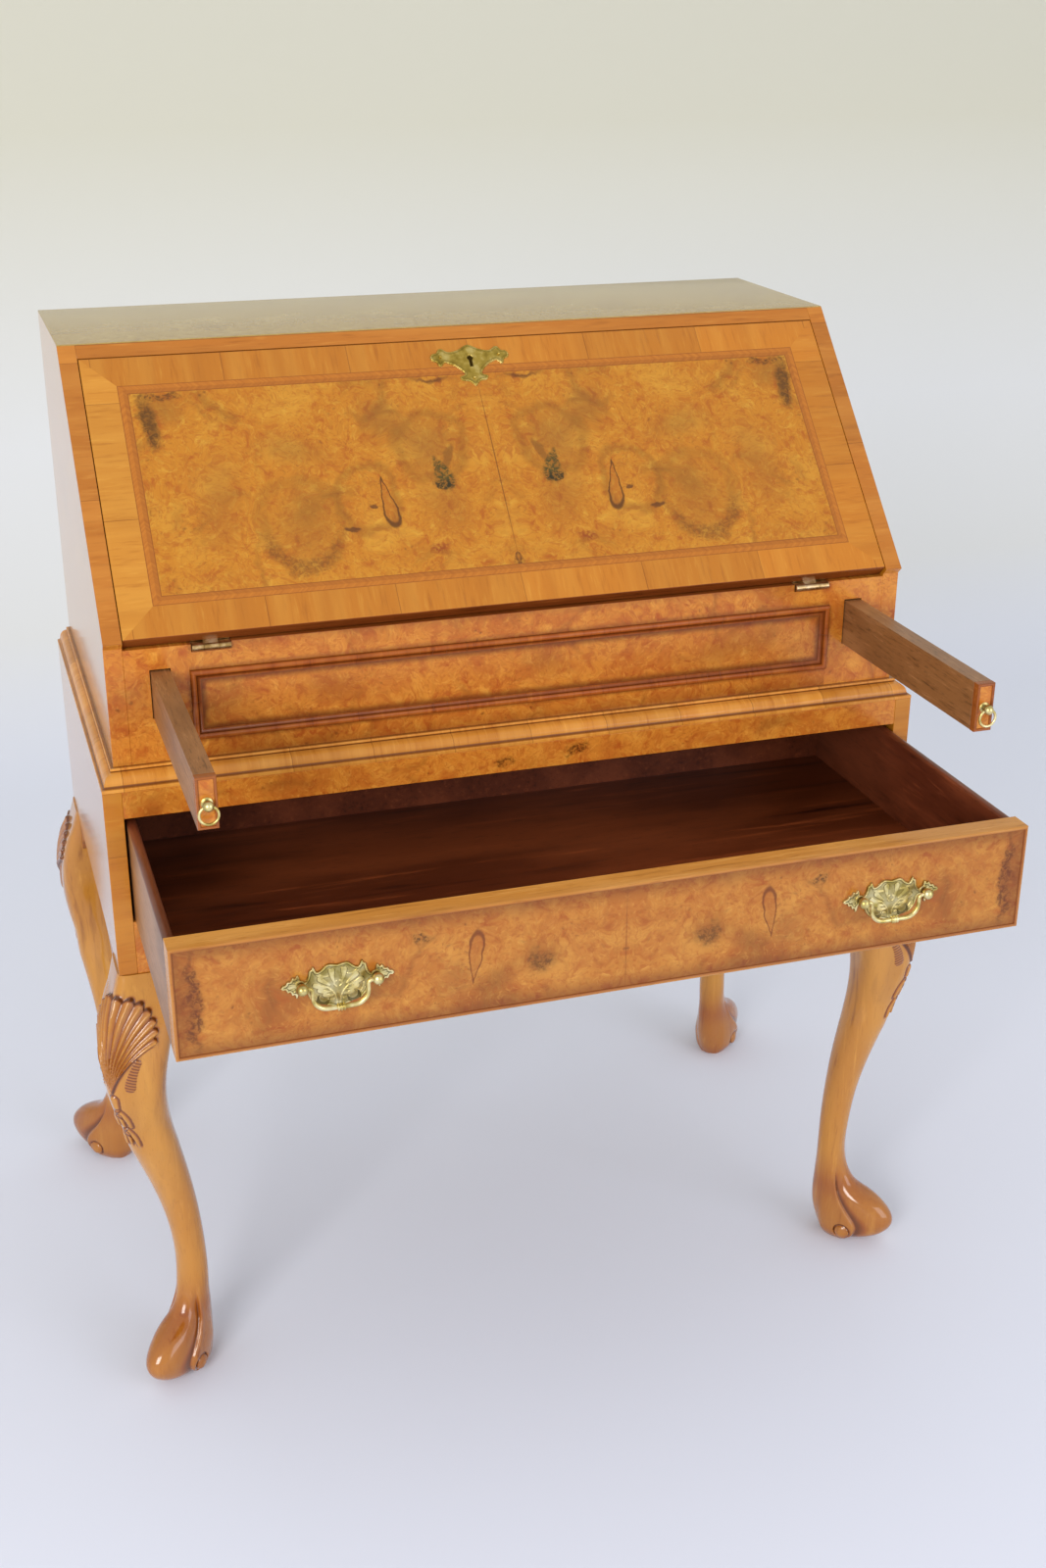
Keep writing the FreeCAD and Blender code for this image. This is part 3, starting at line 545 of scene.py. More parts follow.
def node(tree: Tree, kind: str, sockets: Optional[dict[Union[str, int], Socket]] = None,
         **settings: object) -> bpy.types.Node:
    """Add a shader node with its settings, its values and its links.

    Args:
        tree: The material's nodes.
        kind: The node's kind, without its common prefix.
        sockets: Its inputs: a value, a hex colour, an output, or a node for that node's first output.
        settings: Its properties; stops are a colour ramp's (place, hex colour) pairs.

    Returns:
        The node.
    """
    made = tree.nodes.new("ShaderNode" + kind)
    for key, value in settings.items():
        if key != "stops":
            setattr(made, key, value)
            continue
        ramp = made.color_ramp
        for element, (place, code) in zip((ramp.elements[0], ramp.elements[1]), (value[0], value[-1])):
            element.position = place
            element.color = linear(code)
        for place, code in value[1:-1]:
            ramp.elements.new(place).color = linear(code)
    for key, value in (sockets or {}).items():
        if isinstance(value, bpy.types.Node):
            value = value.outputs[0]
        if isinstance(value, bpy.types.NodeSocket):
            tree.links.new(value, made.inputs[key])
        else:
            made.inputs[key].default_value = linear(value) if isinstance(value, str) else value
    return made


def per_metre(size: float) -> float:
    """A pattern's scale from its real size in millimetres."""
    return 1.0 / (size * MM)


@dataclass(frozen=True)
class Finish:
    """A finish: its name, gloss and clear coat. Its nodes are made once."""

    name: str
    roughness: Pair = (0.2, 0.3)
    mirror: float = 0.3
    coat: float = 0.12
    coat_roughness: float = 0.1
    metallic: float = 0.0

    def material(self) -> bpy.types.Material:
        """The finish's material, made when it is first asked for."""
        found = bpy.data.materials.get(self.name)
        if found is not None:
            return found
        made = bpy.data.materials.new(self.name)
        made.use_nodes = True
        tree = made.node_tree
        tree.nodes.clear()
        colour, height, depth = self.pattern(tree)
        gloss = node(tree, "MapRange", {"Value": height, "To Min": self.roughness[1],
                                        "To Max": self.roughness[0]})
        bump = node(tree, "Bump", {"Strength": 1.0, "Distance": depth * MM, "Height": height})
        shader = node(tree, "BsdfPrincipled", {
            "Base Color": colour, "Roughness": gloss, "Normal": bump,
            "Metallic": self.metallic, "Specular IOR Level": self.mirror, "Coat Weight": self.coat,
            "Coat Roughness": self.coat_roughness})
        output = node(tree, "OutputMaterial", {"Surface": shader})
        output.is_active_output = True
        return made

    def pattern(self, tree: Tree) -> Look:
        """Colour, height from 0 to 1 and the height's depth in millimetres."""
        raise NotImplementedError

    def stain_patina_and_shade(self, tree: Tree, colour: Socket, code: str) -> Socket:
        """The colour with another laid over it by the hollow attribute: patina on brass, staining on the
        veneers, and painted shade in creases, grooves and along proud edges.
        """
        return self.blend(tree, node(tree, "Attribute", attribute_name="hollow").outputs["Fac"], colour, code)

    @staticmethod
    def blend(tree: Tree, share: Socket, first: Socket, second: Socket, how: str = "MIX") -> Socket:
        """Two colours mixed by a share.

        Args:
            tree: The material's nodes.
            share: How much of the second.
            first: The first colour.
            second: The second colour.
            how: Blender's name for the way of mixing.

        Returns:
            The mixed colour.
        """
        made = node(tree, "Mix", {0: share, 6: first, 7: second}, data_type="RGBA", blend_type=how)
        return made.outputs[2]

    @staticmethod
    def grain(tree: Tree, vector: Socket, size: float, low: float, high: float, most: float,
              detail: float = 3.0, distortion: float = 0.0) -> Socket:
        """A noise of some real size, stepped softly between two levels.

        Args:
            tree: The material's nodes.
            vector: The coordinates in metres.
            size: Size of its blots in millimetres.
            low: Level that gives 0.
            high: Level that gives the most.
            most: The largest share.
            detail: Octaves of finer noise.
            distortion: How far its shapes are pulled about.

        Returns:
            A share from 0 to most.
        """
        noise = node(tree, "TexNoise", {"Vector": vector, "Scale": per_metre(size), "Detail": detail,
                                        "Distortion": distortion})
        return node(tree, "MapRange", {"Value": noise, "From Min": low, "From Max": high, "To Max": most},
                    interpolation_type="SMOOTHSTEP")

    def layered(self, tree: Tree, colour: Socket, *layers: tuple) -> Socket:
        """The colour with noises laid over it one by one.

        Args:
            tree: The material's nodes.
            colour: The colour underneath.
            layers: For each noise its own colour, its coordinates and then what grain asks for.

        Returns:
            The layered colour.
        """
        for code, *noise in layers:
            colour = self.blend(tree, self.grain(tree, *noise), colour, code)
        return colour


class MarkKind(Enum):
    """How a mark in the veneer looks: where its edge starts and where it is full, in shares of its size."""

    SOLID = (1.05, 0.55)
    SPIKE = (1.04, 0.6)
    LINE = (1.0, 0.3)
    SMOKE = (1.15, 0.05)
    RING = (0.22, 0.02)
    ARC = (0.24, 0.04)
    TEARDROP = (0.17, 0.04)
    RAGGED = (1.1, 0.45)


@dataclass(frozen=True)
class Mark:
    """A mark in a veneer: its place from the joint and the lower edge, half sizes, turn, kind and colour."""

    x: float
    v: float
    half_x: float
    half_v: float
    turn: float
    kind: MarkKind
    colour: str = "#5A3312"
    share: float = 0.8


class Layout(Enum):
    """How a veneer's coordinates lie: the piece's own UV, or the desk's own axes."""

    LEAF = "uv"
    FRONT = "x and z"
    TOP = "x and y"
    SIDE = "y and z"


@dataclass(frozen=True)
class BurrWalnut(Finish):
    """Burr walnut veneer under shellac: amber with orange clouds, curls, flecks and small dark eyes."""

    layout: Layout = Layout.LEAF
    light: str = "#C68F2E"
    base: str = "#B8761C"
    cloud: str = "#A45812"
    dark: str = "#6E400E"
    # Colour that the hollow attribute lays on: staining and painted shade along the frieze frame and the
    # drawer's bead.
    stain_and_shade: str = "#5A2408"
    eye: str = "#5A2F10"
    heart: str = "#8A4214"
    marks: tuple[Mark, ...] = ()
    start: Pair = (0.0, 0.0)
    figure: float = 1.0
    ruddy: float = 0.2

    def coordinates(self, tree: Tree) -> Socket:
        """Flat coordinates in metres by the finish's layout."""
        source = node(tree, "TexCoord")
        if self.layout is Layout.LEAF:
            return source.outputs["UV"]
        parts = node(tree, "SeparateXYZ", {0: source.outputs["Object"]})
        first = parts.outputs[1] if self.layout is Layout.SIDE else parts.outputs[0]
        second = parts.outputs[1] if self.layout is Layout.TOP else parts.outputs[2]
        return node(tree, "CombineXYZ", {0: first, 1: second})

    @staticmethod
    def pushed(tree: Tree, vector: Socket, size: float, reach: float) -> Socket:
        """Coordinates pushed about by a noise.

        Args:
            tree: The material's nodes.
            vector: The coordinates in metres.
            size: Size of the noise in millimetres.
            reach: How far it pushes, in millimetres.

        Returns:
            The pushed coordinates, flat.
        """
        noise = node(tree, "TexNoise", {"Vector": vector, "Scale": per_metre(size), "Detail": 3.0})
        centred = node(tree, "VectorMath", {0: noise.outputs[1], 1: (0.5, 0.5, 0.5)}, operation="SUBTRACT")
        scaled = node(tree, "VectorMath", {0: centred, 1: (reach * MM, reach * MM, 0.0)},
                      operation="MULTIPLY")
        return node(tree, "VectorMath", {0: vector, 1: scaled}, operation="ADD")

    def pattern(self, tree: Tree) -> Look:
        """Clouds, rims of burl, curls, mottle, flecks and eyes over amber, then this leaf's own marks."""
        place = self.coordinates(tree)
        moved = node(tree, "Mapping", {"Vector": place, "Location": (self.start[0], self.start[1], 0.0)})
        bent = self.pushed(tree, moved, 50.0, 30.0)
        curled = self.pushed(tree, bent, 12.0, 10.0)
        cloud = node(tree, "TexNoise", {"Vector": curled, "Scale": per_metre(13.0), "Detail": 5.0,
                                        "Roughness": 0.62, "Distortion": 0.4})
        colour = node(tree, "ValToRGB", {0: cloud}, stops=(
            (0.33, self.cloud), (0.46, self.base), (0.56, self.base), (0.70, self.light)))
        most = self.figure
        colour = self.layered(
            tree, colour,
            (self.light, bent, 55.0, 0.48, 0.66, 0.5 * most),
            (self.dark, bent, 80.0, 0.54, 0.72, 0.38 * most, 4.0),
            (self.cloud, curled, 30.0, 0.47, 0.62, self.ruddy, 4.0, 0.6),
            (self.cloud, curled, 6.0, 0.50, 0.66, 0.52 * most, 4.0, 1.2),
            (self.light, curled, 5.0, 0.55, 0.70, 0.45 * most, 3.0, 0.8))
        burl = node(tree, "TexVoronoi", {"Vector": curled, "Scale": per_metre(74.0)},
                    feature="DISTANCE_TO_EDGE")
        seam = node(tree, "MapRange", {"Value": burl, "From Min": 0.06, "From Max": 0.0, "To Max": 0.5})
        curl = node(tree, "TexNoise", {"Vector": bent, "Scale": per_metre(30.0), "Detail": 3.0,
                                       "Distortion": 0.5})
        turns = node(tree, "Math", {0: curl, 1: 90.0}, operation="MULTIPLY")
        lines = node(tree, "Math", {0: turns}, operation="SINE")
        wisp = node(tree, "MapRange", {"Value": lines, "From Min": 0.2, "From Max": 1.0,
                                       "To Max": 0.12 * most})
        eyes = node(tree, "TexVoronoi", {"Vector": bent, "Scale": per_metre(9.0), "Randomness": 1.0})
        pupil = node(tree, "MapRange", {"Value": eyes, "From Min": 0.24, "From Max": 0.06})
        some = self.grain(tree, bent, 70.0, 0.48, 0.64, 0.8 * most)
        fleck = self.grain(tree, curled, 2.4, 0.56, 0.70, 0.45 * most)
        zone = self.grain(tree, bent, 34.0, 0.48, 0.64, 1.0)
        rare = self.grain(tree, bent, 46.0, 0.58, 0.68, 0.6 * most)
        for first, where, code in ((seam, some, self.dark), (wisp, 1.0, self.dark), (fleck, zone, self.dark),
                                   (pupil, rare, self.eye)):
            share = node(tree, "Math", {0: first, 1: where}, operation="MULTIPLY")
            colour = self.blend(tree, share, colour, code)
        colour = self.marked(tree, place, colour)
        colour = self.stain_patina_and_shade(tree, colour, self.stain_and_shade)
        pore = node(tree, "TexNoise", {"Vector": bent, "Scale": per_metre(1.6), "Detail": 3.0})
        return colour, pore, 0.03

    def marked(self, tree: Tree, place: Socket, colour: Socket) -> Socket:
        """The colour with this leaf's marks drawn in, each an ellipse in its own turned coordinates.

        Args:
            tree: The material's nodes.
            place: The leaf's coordinates.
            colour: The veneer's colour.

        Returns:
            The marked colour.
        """
        if not self.marks:
            return colour
        calm = self.pushed(tree, place, 14.0, 5.0)
        torn = self.pushed(tree, calm, 5.0, 5.0)
        wild = self.pushed(tree, self.pushed(tree, place, 18.0, 20.0), 4.0, 6.0)
        speck = self.grain(tree, torn, 3.4, 0.38, 0.60, 0.75, 5.0, 0.8)
        tooth = node(tree, "Math", {0: speck, 1: 0.25}, operation="ADD")
        loose = self.pushed(tree, calm, 34.0, 26.0)
        ways = {MarkKind.LINE: place, MarkKind.TEARDROP: calm, MarkKind.RING: loose, MarkKind.SOLID: torn,
                MarkKind.SPIKE: torn}
        for mark in self.marks:
            local = node(tree, "Mapping", {
                "Vector": ways.get(mark.kind, wild), "Location": (mark.x * MM, mark.v * MM, 0.0),
                "Rotation": (0.0, 0.0, math.radians(mark.turn)),
                "Scale": (mark.half_x * MM, mark.half_v * MM, 1.0)}, vector_type="TEXTURE")
            parts = node(tree, "SeparateXYZ", {0: local})
            if mark.kind in (MarkKind.TEARDROP, MarkKind.SPIKE):
                narrow = node(tree, "MapRange", {"Value": parts.outputs[1], "From Min": -0.6, "From Max": 1.0,
                                                 "To Min": 1.0, "To Max": 0.12})
                wide = node(tree, "Math", {0: parts.outputs[0], 1: narrow}, operation="DIVIDE")
                local = node(tree, "CombineXYZ", {0: wide, 1: parts.outputs[1]})
            far = node(tree, "VectorMath", {0: local}, operation="LENGTH").outputs[1]
            if mark.kind is MarkKind.TEARDROP:
                fill = node(tree, "MapRange", {"Value": far, "From Min": 0.95, "From Max": 0.75,
                                               "To Max": 0.28 * mark.share})
                colour = self.blend(tree, fill, colour, self.heart)
            if mark.kind in (MarkKind.RING, MarkKind.ARC, MarkKind.TEARDROP):
                off = node(tree, "Math", {0: far, 1: 0.85}, operation="SUBTRACT")
                far = node(tree, "Math", {0: off}, operation="ABSOLUTE")
            soft, full = mark.kind.value
            share = node(tree, "MapRange", {"Value": far, "From Min": soft, "From Max": full,
                                            "To Max": mark.share}, interpolation_type="SMOOTHSTEP")
            if mark.kind in (MarkKind.RAGGED, MarkKind.ARC, MarkKind.SPIKE):
                share = node(tree, "Math", {0: share, 1: tooth}, operation="MULTIPLY")
            if mark.kind is MarkKind.ARC:
                under = node(tree, "MapRange", {"Value": parts.outputs[1], "From Min": 0.0, "From Max": -0.5})
                share = node(tree, "Math", {0: share, 1: under}, operation="MULTIPLY")
            colour = self.blend(tree, share, colour, mark.colour)
        return colour


@dataclass(frozen=True)
class CrossBand(Finish):
    """Crossbanding: straight walnut in short lengths along an edge, its grain in fine lines across it."""

    light: str = "#C4842E"
    base: str = "#B8711E"
    dark: str = "#A46016"
    # Colour of the joints between lengths and of the hollow attribute: painted shade in the frame's and the
    # waist's creases.
    stain_and_shade: str = "#582408"
    length: float = 118.0
    tones: Pair = (0.9, 1.08)

    def pattern(self, tree: Tree) -> Look:
        """Noise drawn out across the band; each short length has its own tone and a thin dark joint."""
        place = node(tree, "TexCoord").outputs["UV"]
        along = node(tree, "SeparateXYZ", {0: place})
        count = node(tree, "Math", {0: along, 1: per_metre(self.length)}, operation="MULTIPLY")
        number = node(tree, "Math", {0: count}, operation="FLOOR")
        tone = node(tree, "TexWhiteNoise", {"W": number}, noise_dimensions="1D")
        apart = node(tree, "CombineXYZ", {2: tone})
        drawn = node(tree, "VectorMath", {0: place, 1: (1.0, 0.10, 0.0)}, operation="MULTIPLY")
        drawn = node(tree, "VectorMath", {0: drawn, 1: apart}, operation="ADD")
        fine = node(tree, "TexNoise", {"Vector": drawn, "Scale": per_metre(3.0), "Detail": 3.0,
                                       "Roughness": 0.5})
        colour = node(tree, "ValToRGB", {0: fine}, stops=(
            (0.22, self.dark), (0.45, self.base), (0.58, self.base), (0.80, self.light)))
        colour = self.layered(tree, colour, (self.light, drawn, 22.0, 0.40, 0.70, 0.6),
                              (self.dark, drawn, 34.0, 0.50, 0.72, 0.5))
        shade = node(tree, "MapRange", {"Value": tone, "To Min": self.tones[0], "To Max": self.tones[1]})
        level = node(tree, "CombineColor", {0: shade, 1: shade, 2: shade})
        colour = self.blend(tree, 1.0, colour, level, "MULTIPLY")
        part = node(tree, "Math", {0: count}, operation="FRACT")
        joint = node(tree, "MapRange", {"Value": part, "From Min": 0.9 / self.length,
                                        "From Max": 0.3 / self.length, "To Max": 0.55})
        colour = self.blend(tree, joint, colour, self.stain_and_shade)
        colour = self.stain_patina_and_shade(tree, colour, self.stain_and_shade)
        return colour, fine, 0.03


@dataclass(frozen=True)
class FeatherBand(Finish):
    """Feather banding: two thin strips of walnut laid at opposite slants, dark along the inner edge."""

    light: str = "#B87022"
    dark: str = "#A45E1A"
    line: str = "#66300E"
    width: float = 9.0

    def pattern(self, tree: Tree) -> Look:
        """Slanted stripes that meet in the middle, a dark line at each edge and a darker inner strip."""
        place = node(tree, "TexCoord").outputs["UV"]
        parts = node(tree, "SeparateXYZ", {0: place})
        off = node(tree, "Math", {0: parts.outputs[1], 1: self.width / 2 * MM}, operation="SUBTRACT")
        fold = node(tree, "Math", {0: off}, operation="ABSOLUTE")
        slant = node(tree, "Math", {0: parts.outputs[0], 1: fold}, operation="ADD")
        line = node(tree, "CombineXYZ", {0: slant})
        stripe = node(tree, "TexNoise", {"Vector": line, "Scale": per_metre(4.0), "Detail": 2.0})
        colour = node(tree, "ValToRGB", {0: stripe}, stops=((0.30, self.dark), (0.66, self.light)))
        inner = node(tree, "MapRange", {"Value": off, "From Min": -0.3 * MM, "From Max": 0.5 * MM,
                                        "To Max": 0.22})
        colour = self.blend(tree, inner, colour, self.line)
        edge = node(tree, "MapRange", {"Value": fold, "From Min": (self.width / 2 - 1.0) * MM,
                                       "From Max": (self.width / 2 - 0.4) * MM, "To Max": 0.55})
        colour = self.blend(tree, edge, colour, self.line)
        return colour, stripe, 0.03


@dataclass(frozen=True)
class StraightWood(Finish):
    """Solid timber: long fibres with soft broad figure and dark pores along the grain, darker in hollows."""

    light: str = "#C88C3C"
    base: str = "#B0722A"
    dark: str = "#84501C"
    # Reddish colour laid where the hollow attribute is low: painted shade in shallow carving and on beads,
    # and the legs' darker feet.
    tint: str = "#7C3A14"
    hollow: str = "#4A2810"
    along: Axis = Axis.Z
    fibre: float = 5.0
    figure: float = 45.0
    pores: float = 0.45

    def pattern(self, tree: Tree) -> Look:
        """Noise drawn out along the grain in three sizes; by the hollow attribute the colour turns first
        reddish, then dark: painted shade in carving and beads, and a darker foot.
        """
        place = node(tree, "TexCoord").outputs["Object"]
        draw = [1.0, 1.0, 1.0]
        draw[self.along.value] = 0.08
        drawn = node(tree, "VectorMath", {0: place, 1: draw}, operation="MULTIPLY")
        draw[self.along.value] = 0.3
        loose = node(tree, "VectorMath", {0: place, 1: draw}, operation="MULTIPLY")
        fibre = node(tree, "TexNoise", {"Vector": drawn, "Scale": per_metre(self.fibre), "Detail": 5.0,
                                        "Roughness": 0.6, "Distortion": 0.3})
        colour = node(tree, "ValToRGB", {0: fibre}, stops=(
            (0.30, self.dark), (0.44, self.base), (0.56, self.base), (0.72, self.light)))
        colour = self.layered(tree, colour, (self.light, loose, self.figure, 0.42, 0.66, 0.6),
                              (self.dark, loose, self.figure * 1.7, 0.52, 0.70, 0.45),
                              (self.dark, drawn, 1.3, 0.60, 0.68, self.pores, 2.0))
        hollow = node(tree, "Attribute", attribute_name="hollow").outputs["Fac"]
        # Low hollow values turn the colour reddish, high ones dark: painted shade in grooves and creases, and
        # the legs' darker feet.
        reddening = node(tree, "MapRange", {"Value": hollow, "From Max": 0.5, "To Max": 0.7})
        colour = self.blend(tree, reddening, colour, self.tint)
        sunk = node(tree, "MapRange", {"Value": hollow, "From Min": 0.5})
        colour = self.blend(tree, sunk, colour, self.hollow)
        return colour, fibre, 0.06


@dataclass(frozen=True)
class AgedBrass(Finish):
    """Cast brass, lacquered and aged: pale yellow-green on the high places, brown in the hollows."""

    light: str = "#F0E2AC"
    base: str = "#E0CE8C"
    dull: str = "#BAA65C"
    hollow: str = "#40300F"

    def pattern(self, tree: Tree) -> Look:
        """Patches of tarnish, fine casting grain and dark hollows."""
        place = node(tree, "TexCoord").outputs["Object"]
        patch = node(tree, "TexNoise", {"Vector": place, "Scale": per_metre(9.0), "Detail": 4.0})
        colour = node(tree, "ValToRGB", {0: patch}, stops=(
            (0.36, self.dull), (0.50, self.base), (0.66, self.light)))
        colour = self.stain_patina_and_shade(tree, colour, self.hollow)
        cast = node(tree, "TexNoise", {"Vector": place, "Scale": per_metre(1.4), "Detail": 3.0})
        return colour, cast, 0.05


@dataclass(frozen=True)
class BrightSteel(Finish):
    """Filed steel: grey with fine scratches along its length and a few brown spots."""

    light: str = "#A9A8A2"
    dark: str = "#6E6A62"
    rust: str = "#6B4326"

    def pattern(self, tree: Tree) -> Look:
        """Noise drawn out as file marks, with rust in spots."""
        place = node(tree, "TexCoord").outputs["Object"]
        drawn = node(tree, "VectorMath", {0: place, 1: (0.05, 1.0, 1.0)}, operation="MULTIPLY")
        filed = node(tree, "TexNoise", {"Vector": drawn, "Scale": per_metre(0.7), "Detail": 2.0})
        colour = node(tree, "ValToRGB", {0: filed}, stops=((0.35, self.dark), (0.65, self.light)))
        return self.layered(tree, colour, (self.rust, place, 5.0, 0.62, 0.72, 0.7)), filed, 0.03


@dataclass(frozen=True)
class WritingLeather(Finish):
    """Skiver leather for writing on: a fine pebble, paler in patches of wear."""

    base: str = "#3E2A1B"
    tint: str = "#5A3E26"
    sunk: str = "#2A1B10"

    def pattern(self, tree: Tree) -> Look:
        """Cells for the pebble and broad noise for the wear."""
        place = node(tree, "TexCoord").outputs["Object"]
        pebble = node(tree, "TexVoronoi", {"Vector": place, "Scale": per_metre(1.8)}, feature="SMOOTH_F1")
        colour = self.layered(tree, self.base, (self.tint, place, 55.0, 0.45, 0.68, 0.8, 4.0),
                              (self.sunk, place, 3.0, 0.5, 0.7, 0.35))
        return colour, pebble, 0.12


@dataclass(frozen=True)
class StudioPaper(Finish):
    """Seamless background paper: cool and pale on the floor, warmer white up the back."""

    floor: str = "#E0E5F6"
    bend: str = "#E2E4E8"
    back: str = "#D6D4C5"

    def pattern(self, tree: Tree) -> Look:
        """A slow change of colour with height and a faint tooth."""
        place = node(tree, "TexCoord").outputs["Object"]
        height = node(tree, "SeparateXYZ", {0: place}).outputs[2]
        colour = node(tree, "ValToRGB", {0: height}, stops=(
            (0.0, self.floor), (0.12, self.bend), (0.4, self.bend), (1.0, self.back)))
        tooth = node(tree, "TexNoise", {"Vector": place, "Scale": per_metre(2.0)})
        return colour, tooth, 0.01


FALL_MARKS = (
    Mark(60, 172, 40, 42, 0, MarkKind.SMOKE, "#84521A", 0.5),
    Mark(60, 172, 38, 40, 0, MarkKind.RING, "#74460E", 0.3),
    Mark(128, 122, 33, 40, 0, MarkKind.RING, "#74460E", 0.34),
    Mark(192, 102, 42, 50, 0, MarkKind.RING, "#74460E", 0.24),
    Mark(190, 100, 44, 48, 0, MarkKind.SMOKE, "#8A5416", 0.45),
    Mark(100, 205, 34, 24, 30, MarkKind.SMOKE, "#84521A", 0.5),
    Mark(190, 178, 44, 20, 15, MarkKind.SMOKE, "#8A5416", 0.45),
    Mark(57, 112, 30, 40, 0, MarkKind.SMOKE, "#8A5016", 0.4),
    Mark(262, 130, 26, 60, 8, MarkKind.SMOKE, "#8A5016", 0.4),
    Mark(45, 158, 5, 17, 24, MarkKind.SOLID, "#6E4412", 0.55),
    Mark(54, 142, 14, 22, -16, MarkKind.SPIKE, "#4E4014", 1.0),
    Mark(56, 131, 13, 6, 10, MarkKind.RAGGED, "#2E260C", 0.95),
    Mark(110, 116, 9.5, 29, -6, MarkKind.TEARDROP, "#4E2A0A", 0.85),
    Mark(124, 113, 4, 2.6, 0, MarkKind.SOLID, "#5A3010", 0.8),
    Mark(148, 91, 9, 3, 8, MarkKind.SOLID, "#5A3010", 0.85),
    Mark(192, 100, 40, 50, 6, MarkKind.ARC, "#6A3A10", 0.6),
    Mark(72, 64, 10, 7, 0, MarkKind.RAGGED, "#7E2A0C", 0.7),
    Mark(313, 212, 9, 30, -8, MarkKind.RAGGED, "#3E2608", 0.9),
    Mark(312, 214, 11, 32, -8, MarkKind.SMOKE, "#623C0E", 0.8),
    Mark(300, 240, 24, 5, 6, MarkKind.RAGGED, "#4A2C0A", 0.85),
    Mark(298, 228, 26, 18, 35, MarkKind.SMOKE, "#805018", 0.5),
    Mark(2, 46, 4.5, 10, 8, MarkKind.SPIKE, "#5A300C", 0.85),
    Mark(44, 241, 26, 4.5, 4, MarkKind.SMOKE, "#5E3410", 0.85),
    Mark(0, 145, 0.8, 130, 0, MarkKind.LINE, "#6A3A0E", 0.8),
)
DRAWER_MARKS = (
    Mark(130, 560, 9, 26, 186, MarkKind.TEARDROP, "#6A3410", 0.85),
    Mark(74, 550, 24, 20, 0, MarkKind.SMOKE, "#7C4A18", 0.5),
    Mark(74, 548, 14, 12, 20, MarkKind.RAGGED, "#4A2C0C", 0.7),
    Mark(174.5, 583, 10, 4, 10, MarkKind.RAGGED, "#4A2C0C", 0.85),
    Mark(110, 536, 28, 12, -30, MarkKind.SMOKE, "#7C4A18", 0.4),
    Mark(215, 545, 28, 18, 10, MarkKind.SMOKE, "#7C4A18", 0.4),
    Mark(358, 556, 6, 48, 0, MarkKind.RAGGED, "#42220A", 0.85),
    Mark(360, 556, 10, 54, 0, MarkKind.SMOKE, "#703410", 0.55),
    Mark(0, 556, 0.7, 70, 0, MarkKind.LINE, "#7A441A", 0.6),
)
RAIL_MARKS = (
    Mark(42, 622, 16, 7, 10, MarkKind.RAGGED, "#4A2408", 0.85),
    Mark(-28, 620, 12, 6, 0, MarkKind.RAGGED, "#4A2408", 0.8),
    Mark(250, 625, 30, 8, 0, MarkKind.SMOKE, "#7E4216", 0.4),
    Mark(-230, 622, 34, 8, 0, MarkKind.SMOKE, "#7E4216", 0.4),
    Mark(205, 700, 60, 22, 20, MarkKind.SMOKE, "#8A4A16", 0.4),
    Mark(-180, 702, 44, 20, -15, MarkKind.SMOKE, "#8A4A16", 0.4),
    Mark(20, 706, 30, 20, -20, MarkKind.SMOKE, "#7E4414", 0.35),
)
ORANGE = {"light": "#D6923A", "base": "#C67A2A", "cloud": "#AC561C", "dark": "#743A10"}

FALL_BURR = BurrWalnut("burr walnut, fall", marks=FALL_MARKS)
DRAWER_BURR = BurrWalnut("burr walnut, drawer", marks=DRAWER_MARKS, start=(0.8, 0.3), light="#C0863A",
                         base="#B0702A", cloud="#9C521A", dark="#683810", ruddy=0.4)
FRONT_BURR = BurrWalnut("burr walnut, fronts", layout=Layout.FRONT, start=(2.1, 0.7), marks=RAIL_MARKS,
                        ruddy=0.5, **ORANGE)
# The top's colours are paled toward khaki: painted sheen for the reflection on its polish.
TOP_BURR = BurrWalnut("burr walnut, top, painted sheen", layout=Layout.TOP, start=(3.7, 1.9), figure=0.8, coat=0.5,
                      light="#B89E5A", base="#A98B46", cloud="#9C7C3C", dark="#866430")
SIDE_BURR = BurrWalnut("burr walnut, sides", layout=Layout.SIDE, start=(5.2, 2.8), figure=0.8, mirror=0.5,
                       coat=0.8)
CROSSBAND = CrossBand("crossbanded walnut")
SIDE_BAND = CrossBand("crossbanded walnut, pale", light="#CC9038", base="#BE7E2A", dark="#A8681C",
                      tones=(0.95, 1.05))
EDGE_BAND = CrossBand("crossbanded walnut, case edges", light="#C07E32", base="#B06A22", dark="#985818",
                      length=140.0)
WAIST_BAND = CrossBand("crossbanded walnut, waist", light="#DE9E48", base="#CC8634", dark="#B26A24",
                       length=75.0, tones=(0.9, 1.1))
FEATHER = FeatherBand("feather-banded walnut")
FRAME_WOOD = CrossBand("crossbanded walnut, frieze frame", light="#B86A28", base="#A0501C", dark="#803E12",
                       length=160.0)
